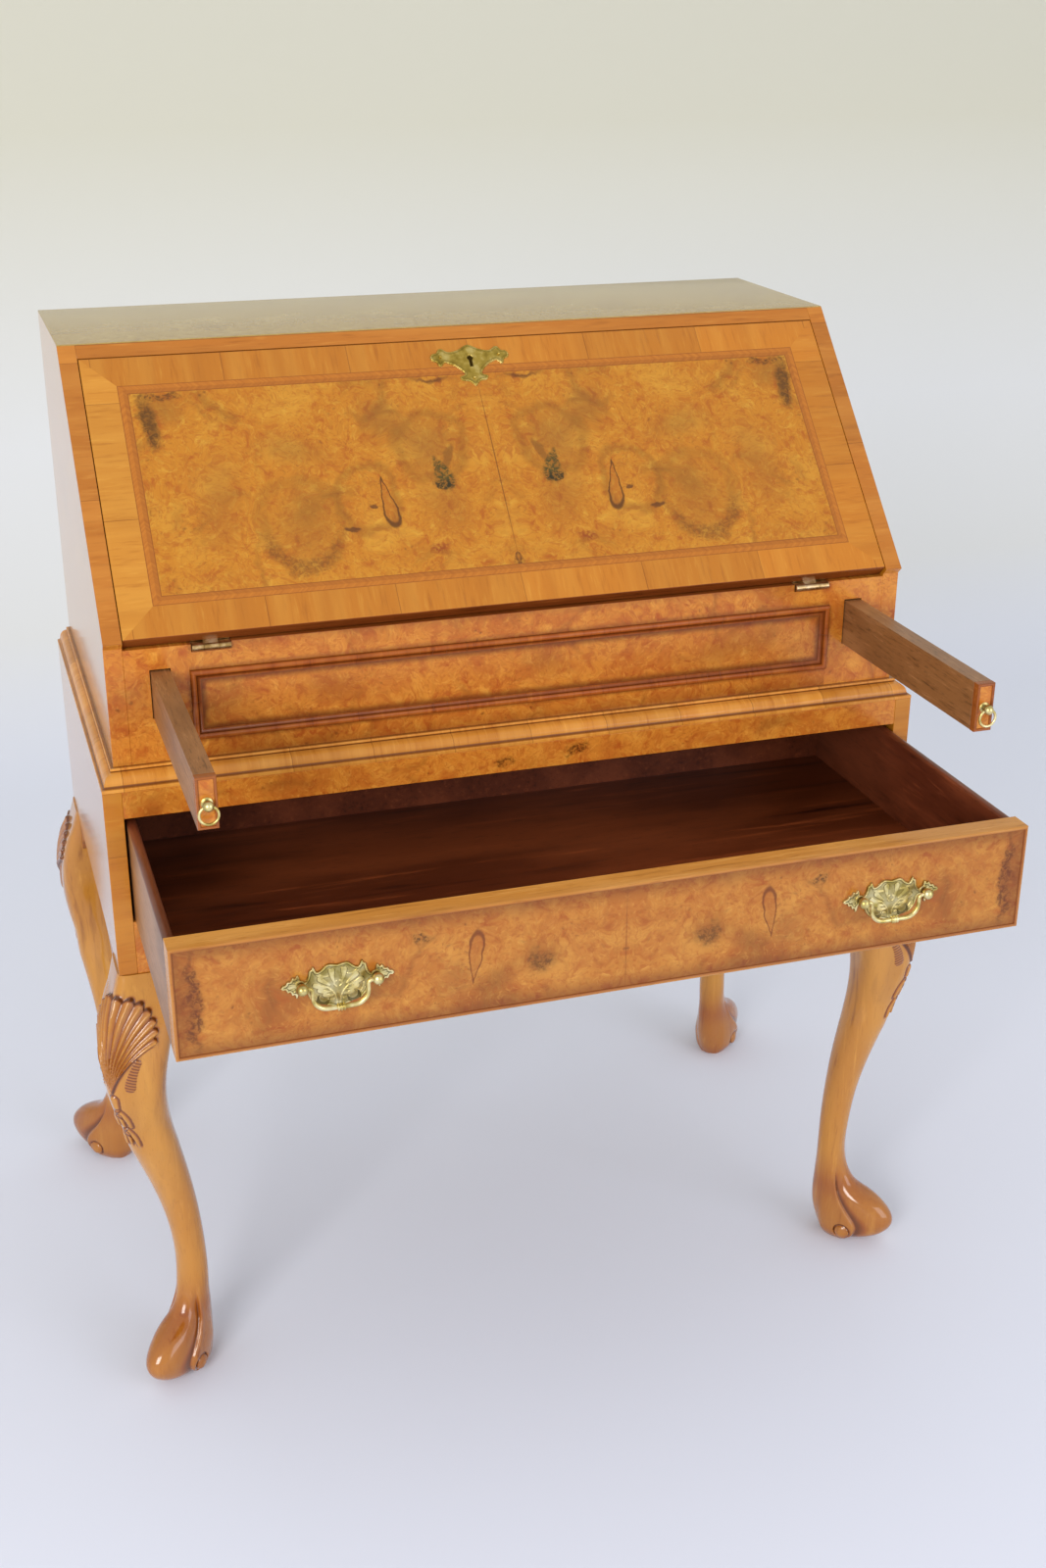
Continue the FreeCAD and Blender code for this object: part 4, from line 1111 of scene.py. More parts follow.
# Darker walnut for the fall's lower and upper edges: painted shade for the edge that lies in shadow under the
# fall.
FALL_EDGE_SHADED = StraightWood("walnut, fall edge, painted shade", light="#9A5424", base="#7E3E16", dark="#5A280C", along=Axis.X)
WALNUT = StraightWood("solid walnut, polished", light="#CA8E38", base="#B47626", dark="#8E5416",
                      tint="#8A3C12", hollow="#421C06", fibre=9.0, figure=60.0,
                      pores=0.2, roughness=(0.12, 0.2), mirror=0.45, coat=0.5, coat_roughness=0.05)
WALNUT_ACROSS = StraightWood("solid walnut, grain across", light="#AE6C2C", base="#944F1E", dark="#6E3612",
                             along=Axis.X)
BEAD_WOOD = StraightWood("walnut bead, reddish", light="#A8622A", base="#8E4C1E", dark="#6A3412",
                         hollow="#3C1A08", along=Axis.X)
EDGE_WOOD = StraightWood("solid walnut, drawer edge", light="#D49A50", base="#C08238", dark="#9A6426",
                         hollow="#6A2E12", along=Axis.X)
MAHOGANY = StraightWood("mahogany, waxed", light="#7E4026", base="#5C2A17", dark="#3A170B", along=Axis.Y,
                        roughness=(0.3, 0.42), coat=0.15, coat_roughness=0.25)
CROTCH = StraightWood("mahogany, crotch figure", light="#8A4422", base="#54240F", dark="#2A0E06",
                      along=Axis.X,
                      roughness=(0.25, 0.36), coat=0.2, coat_roughness=0.2, fibre=14.0, figure=110.0)
LOPER_WOOD = StraightWood("mahogany, loper", light="#A8784E", base="#865A34", dark="#4C2E18", along=Axis.Y,
                          roughness=(0.34, 0.46), mirror=0.45, coat=0.2, coat_roughness=0.25, fibre=2.6,
                          pores=0.65)
PINE = StraightWood("pine, oiled", light="#C9A46C", base="#AE8450", dark="#86602F", along=Axis.X,
                    roughness=(0.5, 0.62), coat=0.0, fibre=7.0)
BRASS = AgedBrass("cast brass, aged", roughness=(0.26, 0.4), mirror=0.5, coat=0.0, metallic=1.0)
GILT = AgedBrass("cast brass, gilt", roughness=(0.26, 0.4), mirror=0.5, coat=0.0, metallic=1.0,
                 light="#D8C074", base="#BCA04A", dull="#9E8436")
HINGE_BRASS = AgedBrass("rolled brass, dull", roughness=(0.34, 0.5), mirror=0.5, coat=0.0, metallic=1.0,
                        light="#E2C8A0", base="#CDAE7C", dull="#A4824E")
STEEL = BrightSteel("filed steel", roughness=(0.3, 0.45), mirror=0.5, coat=0.0, metallic=1.0)
LEATHER = WritingLeather("skiver leather", roughness=(0.45, 0.6), coat=0.0)
PAPER = StudioPaper("background paper", roughness=(0.75, 0.85), coat=0.0)


@dataclass
class Studio:
    """Paper sweep, soft lamps and the camera, in metres in the row's frame."""

    floor_half: float = 6.0
    floor_front: float = -6.0
    wall_y: float = 2.6
    wall_top: float = 5.0
    bend: float = 1.2
    lens: float = 42.46
    sensor: float = 36.0
    air_light: float = 1.05
    air_seen: float = 0.95
    air_colour: str = "#E6E6E4"
    aim: Triple = (0.0, 0.0, 0.6)
    eye: Triple = (-0.5021, -1.6075, 1.2792)
    right: Triple = (0.951089, -0.30891, 0.002253)
    down: Triple = (-0.120278, -0.377015, -0.918364)
    ahead: Triple = (0.284541, 0.873175, -0.395729)

    def paper(self) -> None:
        """A floor that bends up into a wall: a line, a quarter circle and a line carried across."""
        angle = np.radians(np.linspace(-90.0, 0.0, 24))
        curve_y = self.wall_y - self.bend + self.bend * np.cos(angle)
        curve_z = self.bend + self.bend * np.sin(angle)
        y = np.concatenate([[self.floor_front], curve_y, [self.wall_y]])
        z = np.concatenate([[0.0], curve_z, [self.wall_top]])
        x = np.array([-self.floor_half, self.floor_half])
        points = np.stack(np.broadcast_arrays(x[None], y[:, None], z[:, None]), -1)
        mesh = bpy.data.meshes.new("paper_sweep")
        sheet = grid(points)
        mesh.from_pydata(points.reshape(-1, 3).tolist(), [], sheet.faces[0].tolist())
        mesh.polygons.foreach_set("use_smooth", np.ones(len(mesh.polygons), bool))
        mesh.materials.append(PAPER.material())
        sweep = bpy.data.objects.new("paper_sweep", mesh)
        bpy.context.scene.collection.objects.link(sweep)

    def lamp(self, name: str, place: Sequence[float], size: float, power: float, colour: str) -> None:
        """A square soft lamp that looks at the desk's middle.

        Args:
            name: The lamp's name.
            place: Where it stands.
            size: Its edge.
            power: Its watts.
            colour: Its colour.
        """
        data = bpy.data.lights.new(name, "AREA")
        data.size = size
        data.energy = power
        data.color = linear(colour)[:3]
        lamp = bpy.data.objects.new(name, data)
        lamp.location = place
        lamp.rotation_euler = (Vector(self.aim) - Vector(place)).to_track_quat("-Z", "Y").to_euler()
        bpy.context.scene.collection.objects.link(lamp)

    def camera(self) -> None:
        """The camera where the desk's edges say the photograph was taken."""
        data = bpy.data.cameras.new("camera")
        data.lens = self.lens
        data.sensor_width = self.sensor
        camera = bpy.data.objects.new("camera", data)
        turn = Matrix((Vector(self.right), -Vector(self.down), -Vector(self.ahead))).transposed().to_4x4()
        camera.matrix_world = Matrix.Translation(self.eye) @ turn
        bpy.context.scene.collection.objects.link(camera)
        bpy.context.scene.camera = camera

    def air(self) -> None:
        """Even light from all round; polish and brass see it as a pale room."""
        world = bpy.data.worlds.new("studio_air")
        world.use_nodes = True
        tree = world.node_tree
        tree.nodes.clear()
        rays = node(tree, "LightPath")
        seen = node(tree, "Math", {0: rays.outputs["Is Camera Ray"], 1: rays.outputs["Is Glossy Ray"]},
                    operation="MAXIMUM")
        strength = node(tree, "MapRange", {"Value": seen, "To Min": self.air_light, "To Max": self.air_seen})
        back = node(tree, "Background", {"Color": self.air_colour, "Strength": strength})
        node(tree, "OutputWorld", {"Surface": back})
        bpy.context.scene.world = world

    def build(self) -> None:
        """Set up the whole studio."""
        self.camera()
        self.paper()
        self.lamp("key_lamp", place=(-2.3, -3.0, 1.9), size=1.5, power=80.0, colour="#FFFBF4")
        self.lamp("fill_lamp", place=(2.3, -3.2, 1.5), size=2.2, power=36.0, colour="#F6F7FF")
        self.air()
        bpy.context.scene.view_settings.view_transform = "Standard"


@dataclass
class UpperCase:
    """Case with the sloping front: sides, top, frieze, its frame and the waist moulding."""

    strip: float = 15.5
    stile_inner: float = 308.0
    veneer: float = 0.12
    frame_low: float = 667.5
    frame_high: float = 732.0
    frame_width: float = 9.0
    frame_proud: float = 4.5
    waist_height: float = 16.0
    waist_front: float = 22.0
    waist_side: float = 13.5
    notch_x: Pair = (270.0, 305.4)
    notch_z: float = 748.2
    frame_bead: float = 2.6
    frame_step: float = 0.8
    tuck: float = 1.0
    top_veneer: float = 0.9
    top_overhang: float = 0.4
    strike_gap: float = 0.1
    bolt_half: float = 12.3
    bolt_room: float = 2.3
    bolt_in: float = 10.353
    bolt_deep: float = 8.2
    # Steps in from the frame at which the panel's darkening by staining and painted shade is graded.
    stain_and_shade = np.array([0.0, 2.0, 4.0, 6.0, 8.0, 14.0])

    @property
    def slope_end(self) -> Pair:
        """Depth and height where the slope meets the veneer of the top."""
        return DESK.top_front - self.top_veneer * DESK.slope_cos / DESK.slope_sin, DESK.top - self.top_veneer

    def sides(self) -> None:
        """Side boards; the sloping front edge is crossbanded."""
        nose_z = DESK.foot_z + DESK.foot_y / DESK.slope_sin * DESK.slope_cos
        outline = [(0.0, DESK.waist), (0.0, nose_z), (DESK.foot_y, DESK.foot_z), self.slope_end,
                   (DESK.depth, self.slope_end[1]), (DESK.depth, DESK.waist)]
        for hand in Hand:
            ends = sorted((hand.value * DESK.upper_inner, hand.value * DESK.upper_half))
            sheets = prism(outline, Axis.X, ends[0], ends[1], {0: 2, 1: 2, 2: 1})
            name = "upper_side_" + hand.name.lower()
            make_piece(name + "_board", sheets, (SIDE_BURR, EDGE_BAND, FRONT_BURR), "case",
                       (name,), bevel=0.5)

    def strike_edge(self, u: float, deep: float) -> list[Sheet]:
        """Front edge of the top board with the pocket that takes the lock's bolt.

        Args:
            u: The edge's place up the slope.
            deep: How far the edge reaches behind the slope.

        Returns:
            The edge and the pocket's walls.
        """
        half, room = self.bolt_half, self.bolt_room
        x = np.array([-DESK.upper_inner, -half, half, DESK.upper_inner])
        out = -np.array([0.0, self.bolt_in - room, self.bolt_in + room, deep])
        wide, back = np.meshgrid(x, out)
        skip = np.zeros((3, 3), bool)
        skip[1, 1] = True
        uv = np.stack([-back, wide], -1) * MM
        sheets = [grid(on_slope(wide, np.full_like(wide, u), back), uv, finish=1, skip=skip)]
        ring_x = np.array([-half, half, half, -half])
        ring_out = -self.bolt_in + room * np.array([1.0, 1.0, -1.0, -1.0])
        mouth = on_slope(ring_x, np.full(4, u), ring_out)
        floor = on_slope(ring_x, np.full(4, u + self.bolt_deep), ring_out)
        for i in range(4):
            j = (i + 1) % 4
            sheets.append(polygon(np.stack([mouth[i], mouth[j], floor[j], floor[i]])))
        return sheets + [polygon(floor)]

    def top(self) -> None:
        """Top board with the narrow banded strip above the fall, cut back a hair round the strike plate."""
        edge_u = DESK.slope_length - self.strip + self.strike_gap
        edge = on_slope(np.zeros(1), np.array([edge_u]), np.zeros(1))[0]
        under = edge[2] - DESK.top_under
        outline = [self.slope_end, (edge[1], edge[2]),
                   (edge[1] + under / DESK.slope_cos * DESK.slope_sin, DESK.top_under),
                   (DESK.depth, DESK.top_under), (DESK.depth, self.slope_end[1])]
        sheets = prism(outline, Axis.X, -DESK.upper_inner, DESK.upper_inner, {0: 1})
        sheets[3:4] = self.strike_edge(edge_u, under / DESK.slope_cos)
        make_piece("top_board_core", sheets, (WALNUT_ACROSS, EDGE_BAND), "case", ("top_board",),
                   bevel=0.4)
        self.top_sheet()

    def top_sheet(self) -> None:
        """Burr veneer over the top board and the sides' upper edges, with an eased border."""
        r = self.top_veneer

        def place(x: Array, y: Array, out: Array) -> Array:
            """Put x across, y to the back and out upwards from the top."""
            return np.stack(np.broadcast_arrays(x, y, DESK.top + out), -1)

        border = np.concatenate([[(0.0, -r)], arc((r, -r), r, 180.0, 90.0, 6)])
        sheets = rim(-DESK.upper_half, DESK.upper_half, DESK.top_front - self.top_overhang, DESK.depth,
                     border, place)
        x = np.array([-DESK.upper_half + r, DESK.upper_half - r])
        y = np.array([DESK.top_front - self.top_overhang + r, DESK.depth - r])
        sheets.append(grid(place(x[None], y[:, None], np.zeros((2, 2)))))
        make_piece("top_burr_veneer", sheets, (TOP_BURR,), "case", facing=(0, 0, 1))

    def frieze(self) -> None:
        """Veneer on the frieze board: a burr panel darkened along the frame by staining and painted shade,
        and bands above and below it with painted shade next to the frame, the waist moulding and the fall.
        """
        place = on_front(0.0)
        inside = self.frame_width - self.tuck
        half, low, high = self.stile_inner - inside, self.frame_low + inside, self.frame_high - inside
        x = np.concatenate([-half + self.stain_and_shade, (half - self.stain_and_shade)[::-1]])
        z = np.concatenate([low + self.stain_and_shade, (high - self.stain_and_shade)[::-1]])
        wide, tall = np.meshgrid(x, z)
        near = np.minimum(half - np.abs(wide), np.minimum(tall - low, high - tall))
        # The panel darkens within 8 mm of the frame: staining and painted shade.
        sheets = [grid(place(wide, tall, np.full_like(wide, self.veneer)),
                       hollow=0.78 * smooth(8.0, 1.5, near))]
        low_x = np.array([-self.stile_inner, self.stile_inner])
        low_z = np.array([DESK.waist + self.waist_height - 2.0, self.frame_low - 4.0,
                          self.frame_low + self.tuck])
        points = place(low_x[None], low_z[:, None], np.full((3, 2), self.veneer))
        # Painted shade over the waist moulding and under the frame.
        sheets.append(grid(points, hollow=np.array([[0.5, 0.5], [0.0, 0.0], [0.7, 0.7]])))
        x = np.array([-self.stile_inner, -self.notch_x[1], -self.notch_x[0], self.notch_x[0], self.notch_x[1],
                      self.stile_inner])
        z = np.array([self.frame_high - self.tuck, self.frame_high + 5.0, self.notch_z, DESK.bed - 0.3])
        points = place(x[None], z[:, None], np.full((4, 6), self.veneer))
        skip = np.zeros((3, 5), bool)
        skip[2, [1, 3]] = True
        # Painted shade over the frame and under the fall's lower edge.
        sheets.append(grid(points, hollow=np.repeat([[0.7], [0.0], [0.0], [0.3]], 6, 1), skip=skip))
        make_piece("frieze_veneer", sheets, (FRONT_BURR,), "case", facing=FORWARD)

    def frame(self) -> None:
        """Applied frame: a round bead at its outer edge, a hollow and a small step inside, mitred."""
        width, r, step = self.frame_width, self.frame_bead, self.frame_step
        bead = arc((r, 1.9), r, 180.0, 0.0, 14)
        cove = arc((width - step, r + step), r, 200.0, 270.0, 8)
        profile = np.concatenate([[(0.0, 0.0)], bead, cove, [(width, step), (width, 0.0)]])
        profile[:, 1] = np.minimum(profile[:, 1], self.frame_proud)
        # Dark at both edges, in the cove and on the bead's flanks, light on its crown: painted shade.
        round_bead = 0.7 * np.abs(np.linspace(-1.0, 1.0, 14)) ** 3
        hollow = np.concatenate([[0.9], round_bead, np.linspace(0.8, 0.3, 8), [0.2, 0.9]])
        sheets = rim(-self.stile_inner, self.stile_inner, self.frame_low, self.frame_high, profile,
                     on_front(0.0), hollow=hollow)
        make_piece("frieze_bead_frame", sheets, (FRAME_WOOD,), "case", ("frieze_frame",),
                   facing=FORWARD)

    def waist(self) -> None:
        """Waist moulding: a fillet, a wide ovolo and a small bead on top, carried round three sides."""
        ovolo = np.radians(np.linspace(0.0, 90.0, 18))
        bead = np.radians(np.linspace(-80.0, 100.0, 12))
        share = np.concatenate([
            [(0.0, 0.0), (0.985, 0.0), (1.0, 0.02), (1.0, 0.17), (0.985, 0.19), (0.90, 0.20), (0.84, 0.21),
             (0.80, 0.26), (0.79, 0.30)],
            np.stack([0.25 + 0.53 * np.cos(ovolo), 0.31 + 0.5 * np.sin(ovolo)], -1),
            [(0.21, 0.82), (0.20, 0.84)],
            np.stack([0.19 + 0.06 * np.cos(bead), 0.92 + 0.078 * np.sin(bead)], -1),
            [(0.0, 1.0)]])
        # Dark in the quirk above the fillet, under the top bead and behind it, light on the ovolo: painted
        # shade.
        hollow = np.concatenate([[0.0, 0.0, 0.0, 0.0, 0.1, 0.5, 0.85, 0.85, 0.5], np.linspace(0.1, 0.0, 17),
                                 [0.4], [0.9, 0.9], [0.5], np.zeros(10), [0.5], [0.8]])
        height = DESK.waist + share[:, 1] * self.waist_height
        out_x = DESK.upper_half + share[:, 0] * self.waist_side
        front = -share[:, 0] * self.waist_front
        back = np.full_like(front, DESK.depth)
        right = np.stack([np.stack([out_x, front, height], -1), np.stack([out_x, back, height], -1)])
        left = right * (-1.0, 1.0, 1.0)
        across = run_length(share * (self.waist_front, self.waist_height))
        sheets = []
        for run, along in ((np.stack([left[0], right[0]]), 0), (right, 1), (left, 1)):
            uv = np.stack([run[..., along], np.broadcast_to(across, run.shape[:2])], -1) * MM
            sheets.append(grid(run, uv, np.broadcast_to(hollow, run.shape[:2])))
        sheets += [polygon(right[1]), polygon(left[1])]
        make_piece("waist_ovolo", sheets, (WAIST_BAND,), "case", ("waist_moulding",), sharp=28.0,
                   facing=FORWARD)

    def build(self) -> None:
        """Make the case's pieces and dress the solids that stay."""
        self.sides()
        self.top()
        self.frieze()
        self.frame()
        self.waist()
        dress(FRONT_BURR, "loper_stile_left", "loper_stile_right")
        dress(BEAD_WOOD, "frieze_board")
        dress(MAHOGANY, "upper_bottom", "loper_channels")
        dress(WALNUT_ACROSS, "writing_bed")
        dress(PINE, "upper_back")
        dress(HINGE_BRASS, "hinge_case_leaves", "hinge_pins", "strike_plate")


class FallFinish(IntEnum):
    """Which of the fall's finishes a sheet of it takes."""

    BURR = 0
    BAND = 1
    FEATHER = 2
    EDGE = 3
    PALE = 4
    INNER = 5


@dataclass
class Fall:
    """Fall board with its veneer, its escutcheon, its lock and its leather."""

    half: float = 363.2
    low: float = 3.224
    high: float = 284.0
    thick: float = 14.353
    ease: float = 0.5
    band: float = 30.0
    feather: float = 9.0
    joint: float = 2.0
    leather_margin: float = 48.0
    lock_half: float = 31.0
    lock_height: float = 38.0
    lock_thick: float = 8.0
    hinge_x: Pair = (270.7, 304.7)
    hinge_leaf: float = 26.0
    keyhole_u: float = 262.0
    plate_width: float = 78.0
    plate_thick: float = 1.6
    pin_radius: float = 1.6
    inner_ease: float = 0.6
    plate_rise: float = 2.4
    bead_pitch: float = 3.2
    key_radius: float = 2.8
    key_drop: float = 2.0
    slot_half: float = 1.6
    slot_reach: float = 5.0
    slot_drop: float = 6.5
    seat: float = 0.02
    opening: Triple = (5.0, 10.5, 4.0)

    wing = np.array([(0, 0.165), (0.045, 0.15), (0.1, 0.116), (0.2, 0.078), (0.275, 0.078), (0.325, 0.115),
                     (0.358, 0.124), (0.392, 0.1), (0.416, 0.066), (0.452, 0.06), (0.486, 0.038), (0.5, 0)])
    foot = np.array([(0.5, 0), (0.486, -0.038), (0.455, -0.056), (0.432, -0.064), (0.412, -0.114),
                     (0.386, -0.128), (0.352, -0.098), (0.318, -0.078), (0.278, -0.096), (0.232, -0.116),
                     (0.19, -0.15), (0.154, -0.182), (0.12, -0.225)])
    tail = np.array([(-0.225, 0.12), (-0.25, 0.112), (-0.288, 0.178), (-0.33, 0.165), (-0.355, 0.075),
                     (-0.39, 0.035), (-0.43, 0.0)])

    def veneer(self) -> list[Sheet]:
        """Burr leaves matched about the joint, then a feather strip and a crossband mitred round them."""
        edge = self.ease
        x0, x1, v0, v1 = -self.half + edge, self.half - edge, self.low + edge, self.high - edge
        inset = self.band + self.feather - edge
        left = np.linspace(x0 + inset, self.joint, 3)
        right = np.linspace(self.joint, x1 - inset, 3)
        u = np.array([v0 + inset, v1 - inset])
        sheets = []
        for x in (left, right):
            points = on_slope(x[None], u[:, None], np.zeros((2, 3)))
            uv = np.stack(np.broadcast_arrays(np.abs(x - self.joint)[None], u[:, None]), -1) * MM
            sheets.append(grid(points, uv))
        first = self.band - edge
        sheets += rim(x0 + first, x1 - first, v0 + first, v1 - first,
                      np.array([(0.0, 0.0), (self.feather, 0.0)]), on_slope, FallFinish.FEATHER)
        sheets += self.crossband(x0, x1, v0, v1, first)
        return sheets

    def crossband(self, x0: float, x1: float, v0: float, v1: float, width: float) -> list[Sheet]:
        """Four mitred strips; the upper one is open behind the keyhole.

        Args:
            x0: Left edge.
            x1: Right edge.
            v0: Lower edge.
            v1: Upper edge.
            width: The strips' width.

        Returns:
            The strips.
        """
        strips = rim(x0, x1, v0, v1, np.array([(0.0, 0.0), (width, 0.0)]), on_slope, FallFinish.BAND)
        half_hole, below, above = self.opening
        hole_low, hole_high = self.keyhole_u - below, self.keyhole_u + above
        down = np.array([0.0, v1 - hole_high, min(v1 - hole_low, width), width])
        across = np.array([x1, half_hole, -half_hole, x0])
        lean = np.array([1.0, 0.0, 0.0, -1.0])
        x = across[None] - lean[None] * down[:, None]
        u = v1 - np.broadcast_to(down[:, None], x.shape)
        uv = np.stack([x, v1 - u], -1) * MM
        skip = np.zeros((3, 3), bool)
        skip[1, 1] = True
        strips[2] = grid(on_slope(x, u, np.zeros_like(x)), uv, finish=FallFinish.BAND, skip=skip)
        strips[3].finish = FallFinish.PALE
        return strips

    def inner_face(self) -> Sheet:
        """Inside of the board, open where the leather, the lock and the hinge leaves lie flush in it."""
        edge = self.inner_ease
        leather = self.half - self.leather_margin
        x = np.array([-self.half + edge, -leather, -self.hinge_x[1], -self.hinge_x[0], -self.lock_half,
                      self.lock_half, self.hinge_x[0], self.hinge_x[1], leather, self.half - edge])
        u = np.array([self.low + edge, self.low + self.hinge_leaf, self.low + self.leather_margin,
                      self.high - self.leather_margin, self.high - self.lock_height, self.high - edge])
        middle_x, middle_u = (x[1:] + x[:-1]) / 2, (u[1:] + u[:-1]) / 2
        wide, tall = np.meshgrid(middle_x, middle_u)
        skip = (np.abs(wide) < leather) & (tall > u[2]) & (tall < u[3])
        skip |= (np.abs(wide) < self.lock_half) & (tall > u[4])
        skip |= (np.abs(wide) > self.hinge_x[0]) & (np.abs(wide) < self.hinge_x[1]) & (tall < u[1])
        points = on_slope(x[None], u[:, None], np.full((len(u), len(x)), -self.thick))
        return grid(points, finish=FallFinish.INNER, skip=skip)

    def upper_edge(self, profile: Array, first: int) -> Sheet:
        """Upper edge of the board, open where the lock lies flush in it.

        Args:
            profile: (inward, out) points of the board's edge.
            first: The profile point at the lock's front.

        Returns:
            The edge's sheet.
        """
        inward, out = profile[:, 0], profile[:, 1]
        lock = np.full_like(inward, self.lock_half)
        x = np.stack([self.half - inward, lock, -lock, inward - self.half])
        u = np.broadcast_to(self.high - inward, x.shape)
        uv = np.stack([x, np.broadcast_to(run_length(profile), x.shape)], -1) * MM
        skip = np.zeros((3, len(profile) - 1), bool)
        skip[1, first:] = True
        return grid(on_slope(x, u, np.broadcast_to(out, x.shape)), uv, finish=FallFinish.EDGE, skip=skip)

    def panel(self) -> None:
        """The board as one shell: veneered face, eased edges and inner face."""
        r, inner = self.ease, self.inner_ease
        front = arc((r, -r), r, 90.0, 180.0, 6)
        back = arc((inner, inner - self.thick), inner, 180.0, 270.0, 5)
        profile = np.concatenate([front, [(0.0, self.lock_thick - self.thick)], back])
        edge = rim(-self.half, self.half, self.low, self.high, profile, on_slope, FallFinish.EDGE)
        edge[2] = self.upper_edge(profile, len(front))
        edge[1].finish = FallFinish.BAND
        edge[3].finish = FallFinish.PALE
        sheets = self.veneer() + edge + [self.inner_face()]
        finishes = (FALL_BURR, CROSSBAND, FEATHER, FALL_EDGE_SHADED, SIDE_BAND, WALNUT_ACROSS)
        make_piece("fall_board", sheets, finishes, "fall", ("fall_panel",), facing=DESK.slope_out)

    def escutcheon(self) -> None:
        """Cast plate of three lobes round the keyhole, bevelled at its edge, with its three pins."""
        size = self.plate_width
        centre = self.keyhole_u + self.plate_rise
        span = np.linspace(0.0, 1.0, 160)
        edge_top = self.along(self.wing, span)
        edge_low = self.along(self.foot, span)
        edge_tail = self.along(self.tail, span)[:, ::-1]
        edge = np.concatenate([edge_top, edge_low, edge_tail]) * size
        length = run_length(edge)

        def height(x: Array, v: Array) -> tuple[Array, Array]:
            """Height and hollow of the plate at places from its middle."""
            away = np.hypot(np.abs(x)[..., None] - edge[:, 0], v[..., None] - edge[:, 1])
            far = away.min(-1)
            bead = 0.5 + 0.5 * np.cos(length[away.argmin(-1)] * 2.0 * math.pi / self.bead_pitch)
            rim_bead = smooth(2.4, 1.4, far) * smooth(0.2, 0.8, far) * bead
            steps = 0.5 * smooth(0.0, 0.5, far) + 0.2 * smooth(1.4, 2.6, far)
            rise = self.plate_thick * (steps + 0.28 * rim_bead)
            hole = np.hypot(x, v + self.key_drop)
            slot = np.maximum(np.abs(x) - self.slot_half, np.abs(v + self.slot_drop) - self.slot_reach)
            key = np.minimum(hole - self.key_radius, slot)
            # Over the keyhole the plate runs on at its seat and is painted dark: painted shade for the hole.
            inside = smooth(0.35, -0.1, key)
            shade = np.maximum(inside, 0.4 * smooth(3.4, 2.2, far) * (1.0 - rim_bead) * smooth(0.8, 2.0, far))
            return rise * (1.0 - inside) + self.seat, shade

        columns = 0.5 - 0.5 * np.cos(np.linspace(0.0, math.pi, 181))
        x = (columns * 2.0 - 1.0) * 0.5 * size
        rows = 0.5 - 0.5 * np.cos(np.linspace(0.0, math.pi, 61))
        top = np.interp(np.abs(x), edge_top[:, 0] * size, edge_top[:, 1] * size)
        seam = self.tail[0, 0] * size
        low = np.interp(np.abs(x), edge_low[::-1, 0] * size, edge_low[::-1, 1] * size, left=seam)
        v = low[None] + (top - low)[None] * rows[:, None]
        wide = np.broadcast_to(x[None], v.shape)
        rise, shade = height(wide, v)
        sheets = [grid(on_slope(wide, centre + v, rise), hollow=shade)]
        v = np.linspace(seam, self.tail[-1, 0] * size, 61)
        reach = np.interp(-v, -edge_tail[:, 1] * size, edge_tail[:, 0] * size)
        wide = reach[:, None] * (columns[None, ::4] * 2.0 - 1.0)
        tall = np.broadcast_to(v[:, None], wide.shape)
        rise, shade = height(wide, tall)
        sheets.append(grid(on_slope(wide, centre + tall, rise), hollow=shade))
        make_piece("escutcheon_plate", sheets, (GILT,), "fall", ("fall_escutcheon",),
                   facing=DESK.slope_out, sharp=60.0)
        dome = np.concatenate([arc((0.0, 0.0), self.pin_radius, 90.0, 8.0, 10),
                               [(self.pin_radius * 1.02, -0.5)]])
        pins = []
        for x_share, v_share in ((0.37, 0.006), (-0.37, 0.006), (0.0, -0.31)):
            at = on_slope(x_share * size, centre + v_share * size, self.plate_thick - 0.25)
            pins.append(lathe(dome, at, DESK.slope_out))
        make_piece("escutcheon_pin_heads", pins, (GILT,), "fall", ("escutcheon_pins",))

    @staticmethod
    def along(points: Array, at: Array) -> Array:
        """A smooth line through points, read at shares of its length."""
        length = run_length(points)
        return spline(length / length[-1], points, at)

    def build(self) -> None:
        """Make the fall's pieces and dress what stays."""
        self.panel()
        self.escutcheon()
        dress(LEATHER, "fall_leather")
        dress(HINGE_BRASS, "hinge_fall_leaves", "fall_lock_case")
        dress(STEEL, "fall_lock_bolt")


